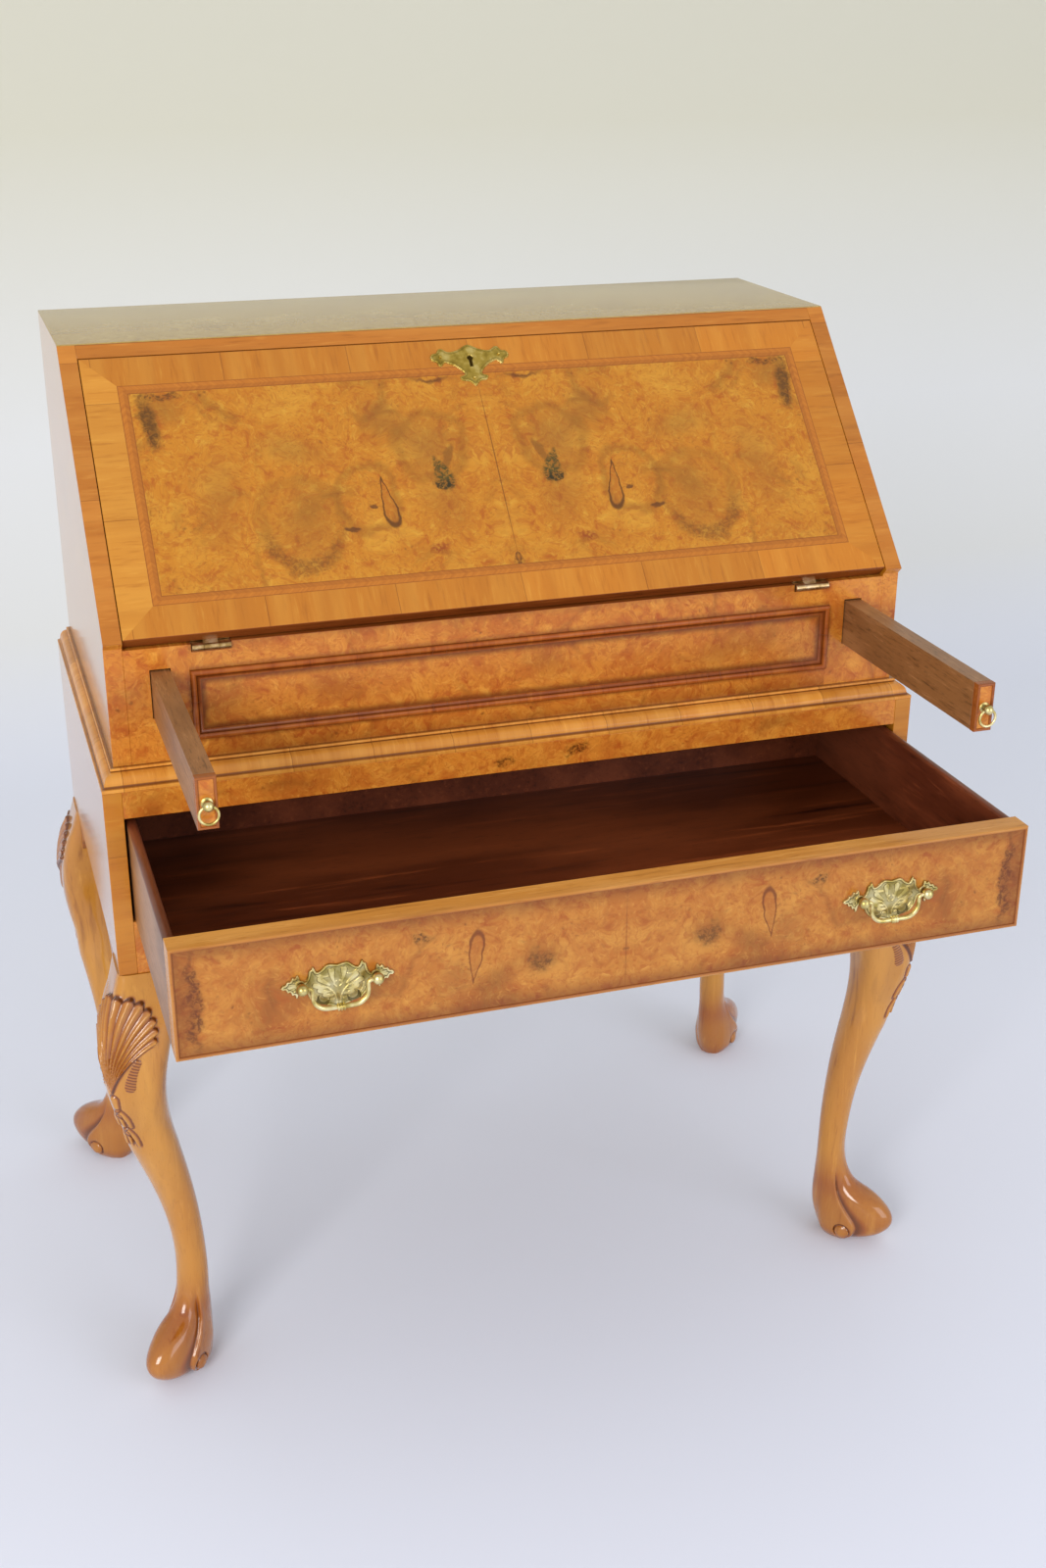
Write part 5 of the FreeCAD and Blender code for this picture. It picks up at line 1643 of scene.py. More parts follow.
@dataclass
class Loper:
    """One pull-out bearer with its beaded end, its post and its ring."""

    hand: Hand
    inner: float = 325.0
    outer: float = 341.7
    low: float = 691.0
    high: float = 734.5
    front: float = -247.0
    back: float = 125.0
    cap: float = 8.0
    rim_width: float = 2.55
    recess: float = 1.6
    peg_radius: float = 4.0
    peg_length: float = 7.0
    peg_ease: float = 0.5
    cap_ease: float = 0.6
    peg_y: float = 22.3
    peg_z: float = 710.0
    post_reach: float = 7.0
    ball: float = 4.4
    stem: float = 2.6
    ring_radius: float = 7.5
    ring_wire: float = 1.15

    def build(self) -> None:
        """Make the loper's pieces."""
        side = self.hand.name.lower()
        body = "loper_" + side
        sign = self.hand.value
        x0, x1 = sorted((sign * self.inner, sign * self.outer))
        sheets = board((x0, self.front + self.cap, self.low), (x1, self.back, self.high))
        peg = np.array([(0.0, self.peg_length), (self.peg_radius - self.peg_ease, self.peg_length),
                        (self.peg_radius, self.peg_length - self.peg_ease), (self.peg_radius, -1.0),
                        (0.0, -1.0)])
        sheets.append(lathe(peg, (sign * self.inner, self.peg_y, self.peg_z), (-sign, 0.0, 0.0)))
        make_piece("loper_bar_" + side, sheets, (LOPER_WOOD,), body, ("loper_" + side,),
                   bevel=0.6)
        self.end(x0, x1, side, body)
        self.pull(side, body)

    def end(self, x0: float, x1: float, side: str, body: str) -> None:
        """Veneered end with a round bead about it: a rim profile and the sunk panel.

        Args:
            x0: Left edge.
            x1: Right edge.
            side: The hand's name.
            body: The body it rides on.
        """
        place = on_front(self.front)
        r = self.rim_width / 2
        bead = arc((r, -r), r, 180.0, 0.0, 12)
        profile = np.concatenate([[(self.cap_ease, -self.cap), (0.0, -self.cap + self.cap_ease)], bead,
                                  [(self.rim_width, -self.recess)]])
        sheets = rim(x0, x1, self.low, self.high, profile, place)
        w = self.rim_width
        x = np.array([x0 + w, x1 - w])
        z = np.array([self.low + w, self.high - w])
        sheets.append(grid(place(x[None], z[:, None], np.full((2, 2), -self.recess)), finish=1))
        make_piece("loper_end_" + side, sheets, (BEAD_WOOD, FRONT_BURR), body,
                   ("loper_cap_" + side,), facing=FORWARD)

    def pull(self, side: str, body: str) -> None:
        """Turned post with a rose and a ball, and the ring through it.

        Args:
            side: The hand's name.
            body: The body the post rides on.
        """
        x = self.hand.value * (self.inner + self.outer) / 2
        z = (self.low + self.high) / 2
        y = self.front + self.recess - self.post_reach
        start = self.post_reach
        rose = [(0.0, -start), (self.ball + 0.3, -start), (self.ball + 0.3, 0.7 - start),
                (self.ball - 0.6, 1.4 - start), (self.stem, 1.7 - start), (self.stem * 0.8, 2.4 - start)]
        ball = arc((0.0, 0.0), self.ball, -55.0, 90.0, 14)
        profile = np.concatenate([rose, ball])
        hollow = np.concatenate([[0.0, 0.0, 0.0, 0.2, 0.7, 0.8], np.linspace(0.5, 0.0, 14)])
        make_piece("loper_pull_post_" + side, [lathe(profile, (x, y, z), FORWARD, hollow)], (BRASS,), body,
                   ("loper_post_" + side,))
        angle = np.linspace(0.0, 2.0 * math.pi, 65)
        path = np.stack([x + self.ring_radius * np.sin(angle), np.full(65, y),
                         z - self.ring_radius + self.ring_radius * np.cos(angle)], -1)
        make_piece("loper_pull_ring_" + side, tube(path, np.full(65, self.ring_wire), (0.0, 1.0, 0.0)),
                   (BRASS,), "ring_" + side, ("loper_ring_" + side,))


@dataclass
class LowerCase:
    """Case with the long drawer: sides, rails and the boards inside."""

    ear_start: float = 52.4
    ear_length: float = 74.0
    ear_depth: float = 42.0
    ear_tip: float = 10.0
    ear_thick: float = 22.0
    ear_step: float = 6.0
    ear_thin: float = 0.6
    ear_curve: float = 2.2
    ear_back: float = 1.0

    def boards(self) -> None:
        """Sides and rails with eased edges, so that their joints show as fine lines."""
        for hand in Hand:
            ends = sorted((hand.value * DESK.lower_inner, hand.value * DESK.lower_half))
            outline = [(DESK.lower_front, DESK.case_bottom), (DESK.lower_front, DESK.waist),
                       (DESK.depth, DESK.waist), (DESK.depth, DESK.case_bottom)]
            name = "lower_side_" + hand.name.lower()
            make_piece(name + "_board", prism(outline, Axis.X, ends[0], ends[1], {0: 1}),
                       (SIDE_BURR, CROSSBAND), "case", (name,), bevel=0.7)
        half = DESK.lower_inner
        for name, low, high in (("drawer_top_rail", DESK.opening_top, DESK.waist),
                                ("bottom_rail", DESK.case_bottom, DESK.opening_bottom)):
            outline = [(DESK.lower_front, low), (DESK.lower_front, high), (DESK.rail_back, high),
                       (DESK.rail_back, low)]
            make_piece(name + "_veneered", prism(outline, Axis.X, -half, half), (FRONT_BURR,), "case",
                       (name,), bevel=0.5)

    def ears(self) -> None:
        """Knee brackets: a board whose lower edge sweeps up from the knee to a thin tip."""
        t = np.linspace(0.0, 1.0, 20)
        along = self.ear_start + t * (self.ear_length - self.ear_step)
        drop = self.ear_tip + (self.ear_depth - self.ear_tip) * (1.0 - t) ** self.ear_curve
        tip = self.ear_start + self.ear_length
        corners = [(tip, self.ear_tip * self.ear_thin), (tip, 0.0), (self.ear_start, 0.0)]
        shape = np.concatenate([np.stack([along, drop], -1), corners])
        middle = DESK.lower_middle
        sheets = []
        for side in (1, -1):
            for end in (1, -1):
                face = DESK.lower_front + self.ear_back
                depth = sorted(middle + end * (y - middle) for y in (face, face + self.ear_thick))
                outline = [(side * (DESK.lower_half - a), DESK.case_bottom - d) for a, d in shape]
                sheets += prism(outline, Axis.Y, depth[0], depth[1])
                width = sorted(side * (DESK.lower_half - self.ear_back - w) for w in (0.0, self.ear_thick))
                outline = [(middle + end * (DESK.lower_front + a - middle), DESK.case_bottom - d) for a,
                           d in shape]
                sheets += prism(outline, Axis.X, width[0], width[1])
        make_piece("knee_bracket_boards", sheets, (WALNUT_ACROSS,), "case", ("knee_brackets",),
                   bevel=1.0)

    def build(self) -> None:
        """Make the case's pieces and dress the solids that stay."""
        self.boards()
        self.ears()
        dress(MAHOGANY, "lower_top", "drawer_runners", "drawer_kickers", "corner_blocks")
        dress(PINE, "lower_back")


@dataclass
class Leg:
    """A cabriole leg with a shell knee, husks and a scrolled foot, drawn for the front right corner."""

    name: str
    side: int
    end: int
    lean: Pair
    foot_height: float = 72.0
    ankle_inset: float = 33.0
    foot_half: float = 23.5
    boss_radius: float = 7.6
    boss_height: float = 14.0
    boss_along: float = 25.0
    boss_seat: float = 24.2
    shell_low: float = 342.0
    shell_rise: float = 94.0
    shell_spread: float = 56.0
    ribs: int = 13
    sunk_ground: float = 3.8
    husk_proud: float = 2.4
    husk_sunk: float = 0.7
    husk_margin: float = 1.8
    feather_proud: float = 1.4
    hatch_pitch: float = 3.2
    groove_deep: float = 4.6
    fillet_proud: float = 1.0
    flare_proud: float = 2.2
    ring_deep: float = 3.2
    columns: int = 200
    crowding: float = 0.55

    row_counts = ((0.0, 8), (6.0, 80), (95.0, 62), (278.0, 205), (446.0, 6))
    feather_line = ((20.0, 350.0), (23.0, 361.0), (29.0, 374.0))
    husks = (
        (((0.0, 336.0), (0.0, 326.0)), (5.0, 3.5)),
        (((1.5, 321.0), (6.5, 313.0), (7.5, 303.0)), (3.6, 2.0)),
        (((0.0, 316.0), (0.0, 300.0)), (2.6, 1.6)),
        (((1.5, 297.0), (6.0, 289.0), (7.0, 279.0)), (3.4, 1.8)),
        (((0.0, 293.0), (0.0, 281.0)), (2.4, 1.4)))

    stations = np.array([
        (1.0, 1.5, 52.0, 7.0), (0.98, 4.0, 52.0, 6.0), (0.923, 14.0, 50.0, 5.0), (0.836, 23.5, 43.0, 4.0),
        (0.698, 25.16, 34.0, 3.2), (0.568, 14.5, 35.5, 2.5), (0.431, 0.0, 41.5, 2.2),
        (0.293, -12.0, 46.0, 2.1), (0.154, -17.8, 48.2, 2.0), (0.06, -17.2, 48.8, 2.0)])
    foot_stations = np.array([
        (1.0, 25.0, 17.0, 0.69), (0.87, 35.0, 17.5, 0.76), (0.76, 52.0, 18.0, 0.84), (0.63, 65.5, 18.0, 0.92),
        (0.46, 74.0, 17.0, 1.0), (0.24, 70.0, 12.5, 1.0), (0.08, 54.0, 7.5, 0.86), (0.0, 40.0, 4.0, 0.66)])

    def bearings(self) -> Array:
        """Bearings round the leg from the outward corner, closer together near it: t - crowding * sin t."""
        t = np.linspace(-math.pi, math.pi, self.columns + 1)
        return t - self.crowding * np.sin(t)

    def levels(self) -> Array:
        """Heights of the rows from the floor up, closest in the foot and under the carving."""
        ends = [start for start, _ in self.row_counts[1:]] + [DESK.case_bottom]
        runs = [np.linspace(start, end, count) for (start, count), end in zip(self.row_counts, ends)]
        return np.concatenate([run[:-1] for run in runs[:-1]] + runs[-1:])

    def core(self, bearing: Array, level: Array) -> Array:
        """Leg without its carving: rounded squares in the shank, eggs in the foot, splined in height.

        Args:
            bearing: Bearings (columns,).
            level: Heights (rows,).

        Returns:
            Points (rows, columns, 3).
        """
        shank = DESK.case_bottom - self.foot_height
        along = bearing + DIAGONAL
        share, proud, reach, power = (self.stations[::-1, i:i + 1] for i in range(4))
        half = (proud + reach) / 2
        square = half / (np.abs(np.cos(along)) ** power + np.abs(np.sin(along)) ** power) ** (1.0 / power)
        foot_share, toe, heel, wide = (self.foot_stations[::-1, i:i + 1] for i in range(4))
        middle, length = (toe - heel) / 2, (toe + heel) / 2
        a = (np.cos(bearing) / length) ** 2 + (np.sin(bearing) / (wide * self.foot_half)) ** 2
        b = middle * np.cos(bearing) / length ** 2
        egg = (b + np.sqrt(b * b + a * (1.0 - (middle / length) ** 2))) / a
        heights = np.concatenate([foot_share * self.foot_height, self.foot_height + share * shank])[:, 0]
        radius = np.concatenate([egg, square])
        inset = np.concatenate([np.full_like(toe, self.ankle_inset), reach - half])
        sway = smooth(0.75 * DESK.case_bottom, 0.25 * DESK.case_bottom, heights)[:, None]
        x = DESK.lower_half - inset + sway * self.lean[0] + radius * np.cos(along)
        y = DESK.lower_front + inset - sway * self.lean[1] - radius * np.sin(along)
        flat = spline(heights, np.stack([x, y], -1), level)
        return np.concatenate([flat, np.broadcast_to(level[:, None, None], flat.shape[:2] + (1,))], -1)

    def shell(self, across: Array, level: Array) -> tuple[Array, Array]:
        """Shell and husks on the knee: ribs that fan from a low point, lobes at their ends, leaves below.

        Args:
            across: Distance round the leg from its outward corner.
            level: Heights.

        Returns:
            Height of the carving and how dark it is painted: painted shade in the flutes, along the shell's
            edge, between the hatches and round the husks.
        """
        up = level - self.shell_low
        turn = np.degrees(np.arctan2(across, np.maximum(up, 0.1)))
        far = np.hypot(across, up)
        spread = self.shell_spread * (0.42 + 0.58 * np.clip(far / self.shell_rise, 0.0, 1.0) ** 1.3)
        place = (turn / spread + 1.0) / 2.0 * self.ribs
        away = np.abs(2.0 * (place - np.floor(place)) - 1.0)
        rib = (1.0 - away) ** 1.3
        edge = self.shell_rise * (1.0 - 0.3 * (turn / spread) ** 2) - 4.0 * away ** 2
        flank = (spread - np.abs(turn)) * math.pi / 180.0 * np.maximum(far, 1.0)
        inside = smooth(-0.3, 1.2, edge - far) * smooth(-0.3, 1.2, flank) * smooth(0.0, 4.0, up)
        deep = smooth(8.0, 42.0, far)
        height = inside * (1.3 + 0.5 * deep + (0.6 + 1.9 * deep) * rib)
        # Dark in the flutes between the ribs and light on their crests: painted shade.
        cut = inside * np.maximum(0.5 - 0.48 * rib, 0.8 * smooth(0.2, 0.02, rib) * (0.6 + 0.35 * deep))
        within = np.minimum(edge - far, flank)
        # A dark line along the shell's edge: painted shade.
        shade = np.maximum(cut, 0.9 * smooth(3.2, 0.4, np.abs(within)) * (up > 0.0)
                           * smooth(-4.0, 0.0, within))
        x = np.abs(across)
        feather = ridge(x, level, self.feather_line, (6.0, 4.0))
        feather *= 1.0 - inside
        hatch = 0.5 + 0.5 * np.cos((level + 0.4 * x) * 2.0 * math.pi / self.hatch_pitch)
        height += self.feather_proud * np.sqrt(feather) * (0.45 + 0.55 * hatch)
        # Dark between the feather's hatches: painted shade.
        shade = np.maximum(shade, (feather > 0.02) * (0.1 + 0.85 * (1.0 - hatch)))
        for line, width in self.husks:
            leaf = ridge(x, level, line, width, 18)
            wider = (width[0] + self.husk_margin, width[1] + self.husk_margin)
            round_it = (ridge(x, level, line, wider, 18) > 0.0) * (leaf <= 0.0)
            height = np.maximum(height, self.husk_proud * np.sqrt(leaf)) - self.husk_sunk * round_it
            # A dark ring round each husk and along its inner edge: painted shade.
            shade = np.maximum(shade,
                               np.maximum(0.8 * round_it, 0.6 * (leaf > 0.0) * smooth(0.5, 0.04, leaf)))
        ground = self.sunk_ground * smooth(72.0, 40.0, x) * smooth(262.0, 300.0, level)
        ground *= smooth(450.0, 425.0, level)
        return height - ground, np.clip(shade, 0.0, 1.0)

    def scroll(self, bearing: Array, level: Array, toe: Array) -> tuple[Array, Array]:
        """Foot: a band on each flank whose front edge stands over the toe and runs round a sunk ring.

        Args:
            bearing: Bearings.
            level: Heights.
            toe: Distance from the ankle's middle towards the toe.

        Returns:
            Height (below 0 is cut away) and how dark it is painted: painted shade in the groove and round the
            boss, and a darker foot.
        """
        turn = np.abs(np.degrees(bearing))
        low = smooth(92.0, 64.0, level)
        past = turn - 26.0 - 21.0 * smooth(18.0, 66.0, level)
        groove = np.exp(-(past / np.where(past < 0.0, 15.0, 4.0)) ** 2)
        fillet = np.exp(-((past - 9.0) / 5.0) ** 2)
        far = np.hypot(toe - self.boss_along, level - self.boss_height)
        ring = np.exp(-((far - self.boss_radius - 0.9) / 1.4) ** 2) * smooth(18.0, 28.0, turn)
        flare = smooth(60.0, 22.0, level) * smooth(1.0, 12.0, past) * smooth(125.0, 85.0, turn)
        height = low * (-self.groove_deep * groove + self.fillet_proud * fillet)
        height += self.flare_proud * flare - self.ring_deep * ring
        # The foot darkens and reddens below the ankle, most round 64 mm up, and darker still near the floor
        # as painted shade.
        reddening = 0.28 + 0.16 * np.exp(-((level - 64.0) / 13.0) ** 2) + 0.14 * smooth(18.0, 4.0, level)
        tint = smooth(112.0, 66.0, level) * reddening
        # The groove and the sunk ring round the boss are painted dark: painted shade.
        return height, np.maximum(tint, np.maximum(0.85 * low * groove ** 3, 0.95 * ring))

    def bosses(self) -> list[Sheet]:
        """Round button in the eye of the scroll on each flank, a dome on a short neck."""
        r = self.boss_radius
        dome = arc((0.0, 0.0), r, 90.0, 0.0, 14) * (1.0, 0.48) + (0.0, -1.2)
        profile = np.concatenate([dome, [(r, -9.0)]])
        # Shaded down the dome and dark at the neck where it meets the foot: painted shade.
        hollow = np.concatenate([np.linspace(0.2, 0.35, 12), [0.6, 0.9, 0.9]])
        x = DESK.lower_half - self.ankle_inset + self.lean[0] + ROOT * self.boss_along
        y = DESK.lower_front + self.ankle_inset - self.lean[1] - ROOT * self.boss_along
        reach = ROOT * self.boss_seat
        spots = [((x + s * reach, y + s * reach, self.boss_height), (s * ROOT, s * ROOT, 0.0))
                 for s in (1, -1)]
        return [lathe(profile, at, axis, hollow) for at, axis in spots]

    def build(self) -> None:
        """Carve the leg and set it at its corner."""
        bearing = self.bearings()
        level = self.levels()
        points = self.core(bearing, level)
        step = np.linalg.norm(np.diff(points[..., :2], axis=1), axis=-1)
        across = np.concatenate([np.zeros((len(level), 1)), np.cumsum(step, 1)], 1)
        across -= across[:, self.columns // 2:self.columns // 2 + 1]
        tall = np.broadcast_to(level[:, None], across.shape)
        round_ = np.broadcast_to(bearing[None], across.shape)
        height, shade = self.shell(across, tall)
        toe = (points[..., 0] - DESK.lower_half + self.ankle_inset - self.lean[0]
               - points[..., 1] + DESK.lower_front + self.ankle_inset - self.lean[1]) * ROOT
        cut, foot_shade = self.scroll(round_, tall, toe)
        along = round_ + DIAGONAL
        points[..., 0] += (height + cut) * np.cos(along)
        points[..., 1] -= (height + cut) * np.sin(along)
        middle = DESK.lower_middle
        sheets = [grid(points, hollow=np.maximum(shade, foot_shade)), polygon(points[0, :-1]),
                  polygon(points[-1, :-1])]
        sheets += self.bosses()
        for sheet in sheets:
            sheet.points = sheet.points * (self.side, 1.0, 1.0)
            if self.end < 0:
                sheet.points = sheet.points * (1.0, -1.0, 1.0) + (0.0, 2.0 * middle, 0.0)
        make_piece("cabriole_" + self.name, sheets, (WALNUT,), "case", (self.name,), sharp=60.0)


@dataclass
class Drawer:
    """Long drawer with its veneered front, cock beads and mahogany box."""

    half: float = 374.8
    low: float = 507.3
    high: float = 605.9
    face: float = -270.0
    inner_face: float = -249.0
    rear: float = 125.0
    side_thick: float = 9.0
    side_drop: float = 2.5
    bead: float = 3.4
    bead_proud: float = 1.6
    bead_depth: float = 12.0
    veneer: float = 0.12
    top_round: float = 0.7
    # Steps in from the bead at which the face's darkening by staining and painted shade is graded.
    stain_and_shade = np.array([0.0, 1.5, 4.0, 8.0, 15.0])

    def front(self) -> None:
        """Face veneer: burr leaves matched about the middle, darkened along the bead by staining and painted
        shade.
        """
        place = on_front(self.face)
        half = self.half - self.bead
        z = np.concatenate([self.low + self.bead + self.stain_and_shade, [(self.low + self.high) / 2],
                            (self.high - self.bead - self.stain_and_shade)[::-1]])
        x = np.concatenate([[0.0], (half - self.stain_and_shade)[::-1]])
        sheets = []
        for hand in Hand:
            wide, tall = np.meshgrid(hand.value * x, z)
            points = place(wide, tall, np.full_like(wide, self.veneer))
            uv = np.stack([np.abs(wide), tall], -1) * MM
            near = np.minimum(half - np.abs(wide), np.minimum(tall - z[0], z[-1] - tall))
            # The face darkens within 15 mm of the bead: staining and painted shade.
            sheets.append(grid(points, uv, hollow=0.5 * smooth(15.0, 0.0, near)))
        make_piece("drawer_front_veneer", sheets, (DRAWER_BURR,), "drawer", facing=FORWARD)

    def beads(self) -> None:
        """Cock bead: a strip with a half-round nose, mitred round the front."""
        r = self.bead / 2
        nose = arc((r, self.bead_proud - r), r, 180.0, 0.0, 12)
        profile = np.concatenate([[(0.0, -self.bead_depth)], nose, [(self.bead, -self.bead_depth)]])
        # Reddish over the outer flank and crown, dark down the inner flank into the corner with the face:
        # painted shade.
        hollow = np.concatenate([[0.0, 0.1], np.linspace(0.1, 0.3, 5), np.linspace(0.4, 0.95, 6), [1.0]])
        sheets = rim(-self.half, self.half, self.low, self.high, profile, on_front(self.face), hollow=hollow)
        make_piece("drawer_cock_bead", sheets, (EDGE_WOOD,), "drawer", ("drawer_cock_beads",),
                   facing=FORWARD)

    def sides(self) -> None:
        """Drawer sides with rounded top edges; the outer faces are left unpolished."""
        top = self.high - self.side_drop
        r = self.side_thick / 2
        for hand in Hand:
            inner, outer = self.half - self.side_thick, self.half
            start = top - r * self.top_round
            round_top = arc((inner + r, start), r, 0.0, 180.0, 12)
            round_top[:, 1] = start + (round_top[:, 1] - start) * self.top_round
            half = [(inner, self.low), (outer, self.low)] + [tuple(p) for p in round_top]
            outline = [(hand.value * x, z) for x, z in half]
            name = "drawer_side_" + hand.name.lower()
            sheets = prism(outline, Axis.Y, self.inner_face, self.rear, {1: 1})
            make_piece(name + "_board", sheets, (MAHOGANY, LOPER_WOOD), "drawer", (name,))

    def build(self) -> None:
        """Make the drawer's pieces, its handles and dress what stays."""
        self.front()
        self.beads()
        self.sides()
        dress(EDGE_WOOD, "drawer_front")
        dress(MAHOGANY, "drawer_back")
        dress(CROTCH, "drawer_bottom")
        for hand in Hand:
            DrawerHandle(hand).build()
        DrawerHandle(Hand.RIGHT).posts()
        DrawerHandle(Hand.RIGHT).plates()


@dataclass
class DrawerHandle:
    """A cast plate with leafy scrolls, two ball posts and a hanging bail."""

    hand: Hand
    spacing: float = 488.0
    z: float = 554.3
    post_rise: float = 5.4
    face: float = -270.0
    width: float = 92.0
    thick: float = 2.0
    post_half: float = 30.5
    post_reach: float = 8.5
    ball: float = 4.95
    stem: float = 3.2
    wire: float = 1.9
    half: float = 22.5
    drop: float = 20.0
    corner: float = 12.0
    shoulder: float = 3.2
    end: float = 33.0
    collar: float = 3.4
    collar_length: float = 7.0
    seat: float = 0.13

    upper_edge = np.array([
        (0, 0.202), (0.033, 0.209), (0.076, 0.215), (0.109, 0.202), (0.141, 0.172), (0.179, 0.157),
        (0.196, 0.179),
        (0.215, 0.213), (0.228, 0.189), (0.248, 0.176), (0.257, 0.136), (0.277, 0.087), (0.304, 0.072),
        (0.328, 0.089),
        (0.337, 0.13), (0.354, 0.15), (0.372, 0.126), (0.393, 0.137), (0.413, 0.104), (0.439, 0.102),
        (0.457, 0.076), (0.478, 0.072), (0.5, 0.043)])
    lower_edge = np.array([
        (0, -0.217), (0.043, -0.201), (0.087, -0.185), (0.152, -0.174), (0.212, -0.141), (0.25, -0.098),
        (0.267, -0.054),
        (0.283, -0.005), (0.31, 0.015), (0.337, -0.005), (0.35, -0.05), (0.367, -0.076), (0.38, -0.035),
        (0.402, -0.039), (0.417, -0.004), (0.44, -0.007), (0.457, 0.024), (0.478, 0.024), (0.5, 0.043)])

    leaves = (
        (((1.2, -16.0), (2.2, -10.0), (5.5, -4.0), (10.0, 0.0)), (0.9, 0.7)),
        (((4.6, -8.0), (8.0, -8.2), (11.0, -6.8)), (0.9, 2.4)),
        (((6.5, -4.2), (11.0, -4.2), (15.0, -2.4)), (0.9, 2.6)),
        (((8.6, -0.6), (13.5, 0.0), (18.5, 2.6)), (0.9, 2.7)),
        (((7.0, 1.0), (10.5, 4.0), (14.5, 7.6)), (0.9, 2.8)),
        (((3.0, 3.0), (4.6, 8.5), (5.0, 13.5)), (0.9, 3.0)),
        (((1.6, 4.0), (3.2, 1.6), (1.4, -1.0)), (0.9, 0.6)),
        (((8.0, 9.5), (12.0, 9.5), (16.0, 11.5), (19.6, 17.6)), (0.9, 2.0)),
        (((15.0, -13.0), (19.0, -9.5), (21.6, -5.0)), (0.9, 0.9)),
        (((17.0, -9.5), (20.0, -5.0), (21.0, -1.0)), (0.8, 0.8)),
        (((4.0, -16.0), (9.0, -14.8), (14.0, -14.0)), (0.9, 0.9)), (((4.0, -12.0), (8.0, -11.5)), (1.2, 0.8)),
        (((31.5, 8.5), (32.5, 13.2)), (0.7, 1.1)), (((32.6, 8.0), (36.0, 12.0)), (0.7, 1.1)),
        (((33.5, 7.0), (40.0, 9.0)), (0.7, 1.1)), (((34.0, 6.0), (43.6, 6.4)), (0.7, 1.0)),
        (((34.0, 5.0), (45.2, 4.0)), (0.7, 0.9)), (((34.0, 4.2), (43.6, 2.6)), (0.7, 0.9)),
        (((33.6, 3.2), (40.2, 0.0)), (0.7, 1.0)), (((32.8, 2.4), (36.8, -3.0)), (0.7, 1.0)),
        (((31.6, 1.8), (33.7, -6.2)), (0.7, 1.0)))

    @property
    def middle(self) -> float:
        """The handle's place across the desk."""
        return self.hand.value * self.spacing / 2

    @property
    def post_y(self) -> float:
        """Depth of the balls' middles."""
        return self.face - self.thick - self.post_reach

    def outline(self, points: Array) -> Array:
        """Half an edge of the plate in millimetres, splined through its points in shares of the width."""
        count = len(points)
        fine = spline(np.arange(float(count)), points, np.linspace(0.0, count - 1.0, 10 * count)) * self.width
        fine[:, 0] = np.maximum.accumulate(fine[:, 0])
        return fine

    def relief(self, x: Array, v: Array) -> tuple[Array, Array]:
        """Height of the casting: flat leaves and a flat border over a sunk ground, with two sunk crescents.

        Args:
            x: Places across from the middle.
            v: Places up from the posts' line.

        Returns:
            Height above the drawer front and how hollow it lies.
        """
        x = np.abs(x)
        fine = np.concatenate([self.outline(self.upper_edge), self.outline(self.lower_edge)])
        far = np.hypot(x[..., None] - fine[:, 0], v[..., None] - fine[:, 1]).min(-1)
        leaf = np.zeros_like(x)
        for line, width in self.leaves:
            leaf = np.maximum(leaf, ridge(x, v, line, width, 24))
        border = smooth(2.0, 1.6, far)
        flat = np.maximum(smooth(0.05, 0.4, leaf), border)
        moon = np.maximum(np.hypot(x - 12.5, v + 11.5) - 5.2, 4.4 - np.hypot(x - 11.6, v + 9.4))
        sunk = smooth(0.5, -0.3, moon)
        height = smooth(0.0, 0.5, far) * (1.4 + 0.5 * flat) * (1.0 - 0.9 * sunk)
        rounds = smooth(0.0, 0.1, leaf) * smooth(0.5, 0.2, leaf) * (1.0 - border)
        line = np.maximum(rounds, np.exp(-((far - 2.1) / 0.4) ** 2))
        shade = np.maximum(np.maximum(0.36 * (1.0 - flat), 0.9 * line), 0.8 * sunk)
        return height, np.maximum(shade, 0.5 * smooth(0.5, 0.0, far))

    def plate_sheet(self, middle: float) -> Sheet:
        """One plate: columns across, rows from its lower edge to its upper edge, raised by the relief.

        Args:
            middle: The plate's place across the desk.

        Returns:
            The plate's sheet.
        """
        columns = np.sin(np.linspace(-math.pi / 2, math.pi / 2, 301)) * 0.5
        x = (0.35 * columns + 0.65 * np.linspace(-0.5, 0.5, 301)) * self.width
        upper, lower = self.outline(self.upper_edge), self.outline(self.lower_edge)
        top = np.interp(np.abs(x), upper[:, 0], upper[:, 1])
        low = np.interp(np.abs(x), lower[:, 0], lower[:, 1])
        rows = 0.3 * (0.5 - 0.5 * np.cos(np.linspace(0.0, math.pi, 131))) + 0.7 * np.linspace(0.0, 1.0, 131)
        v = low[None] + (top - low)[None] * rows[:, None]
        wide = np.broadcast_to(x[None], v.shape)
        height, shade = self.relief(wide, v)
        return grid(on_front(self.face)(middle + wide, self.z + v, height + self.seat), hollow=shade)

    def plates(self) -> None:
        """Both plates, which are one solid's node."""
        sheets = [self.plate_sheet(DrawerHandle(hand).middle) for hand in Hand]
        make_piece("handle_plates_cast", sheets, (BRASS,), "drawer", ("handle_plates",),
                   facing=FORWARD, sharp=60.0)

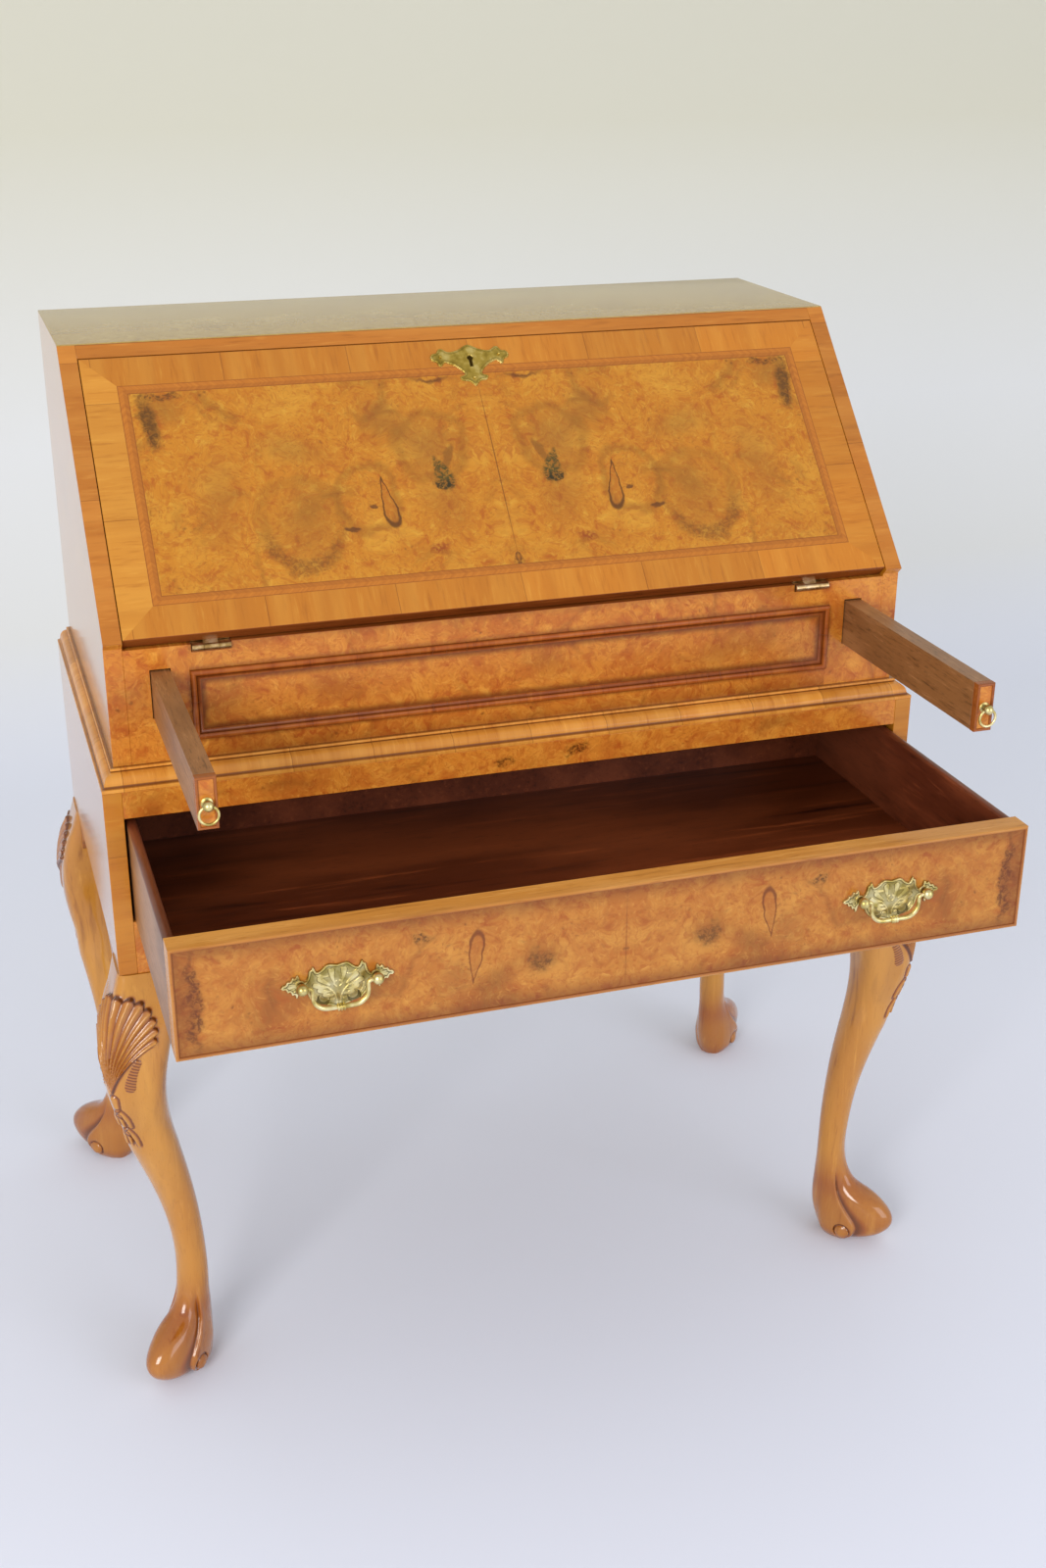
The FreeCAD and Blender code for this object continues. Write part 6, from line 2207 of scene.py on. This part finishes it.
    def posts(self) -> None:
        """All four posts: a collar on the plate, a waist and a ball."""
        start = self.post_reach
        foot = [(0.0, -start), (self.stem + 0.5, -start), (self.stem + 0.5, 0.6 - start),
                (self.stem, 1.2 - start), (self.stem * 0.9, 2.2 - start), (self.stem * 0.85, 3.0 - start)]
        ball = arc((0.0, 0.0), self.ball, -50.0, 90.0, 16)
        profile = np.concatenate([foot, ball])
        hollow = np.concatenate([[0.0, 0.1, 0.0, 0.4, 0.9, 0.9], np.linspace(0.5, 0.0, 16)])
        places = [DrawerHandle(hand).middle + s * self.post_half for hand in Hand for s in (1, -1)]
        sheets = [lathe(profile, (x, self.post_y, self.z + self.post_rise), FORWARD, hollow) for x in places]
        make_piece("handle_ball_posts", sheets, (BRASS,), "drawer", ("handle_posts",))

    def build(self) -> None:
        """The bail: bars into the posts, shoulders, a dropped loop that swells to a reeded collar."""
        low = -self.drop
        h, c, t = self.half, self.corner, self.shoulder
        flat = np.concatenate([
            np.stack([np.linspace(-self.end, -h - t, 6)[:-1], np.zeros(5)], -1),
            arc((-h - t, -t), t, 90.0, 0.0, 8)[:-1],
            np.stack([np.full(6, -h), np.linspace(-t, low + c, 6)], -1)[:-1],
            arc((-h + c, low + c), c, 180.0, 270.0, 14)[:-1],
            np.stack([np.linspace(-h + c, 0.0, 40), np.full(40, low)], -1)])
        whole = np.concatenate([flat, flat[-2::-1] * (-1.0, 1.0)])
        x = whole[:, 0]
        swell = 0.85 + 0.25 * smooth(-8.0, -18.0, whole[:, 1])
        reach = np.abs(x) / (self.collar_length / 2)
        in_loop = whole[:, 1] < low + 0.5
        reed = np.where(in_loop & (reach < 1.0), 0.86 + 0.14 * np.cos(x * 2.0 * math.pi / 2.4), 0.0)
        radius = np.maximum(self.wire * np.minimum(swell, 1.0), self.collar * reed)
        path = np.stack([self.middle + x, np.full(len(x), self.post_y), self.z + self.post_rise
                         + whole[:, 1]], -1)
        side = self.hand.name.lower()
        make_piece("handle_bail_cast_" + side, tube(path, radius, (0.0, 1.0, 0.0)), (BRASS,), "bail_" + side,
                   ("handle_bail_" + side,), sharp=50.0)


@dataclass
class Interior:
    """Fitted inside behind the fall, kept as its solids."""

    def build(self) -> None:
        """Dress the pigeonholes and the small drawer."""
        dress(MAHOGANY, "pigeonhole_shelf", "pigeonhole_dividers", "small_drawer_tray")
        dress(FRONT_BURR, "small_drawer_front")
        dress(BRASS, "small_drawer_knob")


def main() -> None:
    logging.basicConfig(level=logging.INFO, format="%(message)s")
    Studio().build()
    UpperCase().build()
    Fall().build()
    for hand in Hand:
        Loper(hand).build()
    LowerCase().build()
    for name, side, end, lean in (("leg_front_right", 1, 1, (-6.0, 17.0)),
                                  ("leg_front_left", -1, 1, (-12.0, 11.0)),
                                  ("leg_back_right", 1, -1, (15.0, 0.0)),
                                  ("leg_back_left", -1, -1, (15.0, 0.0))):
        Leg(name, side, end, lean).build()
    Drawer().build()
    Interior().build()


if __name__ == "__main__":
    main()
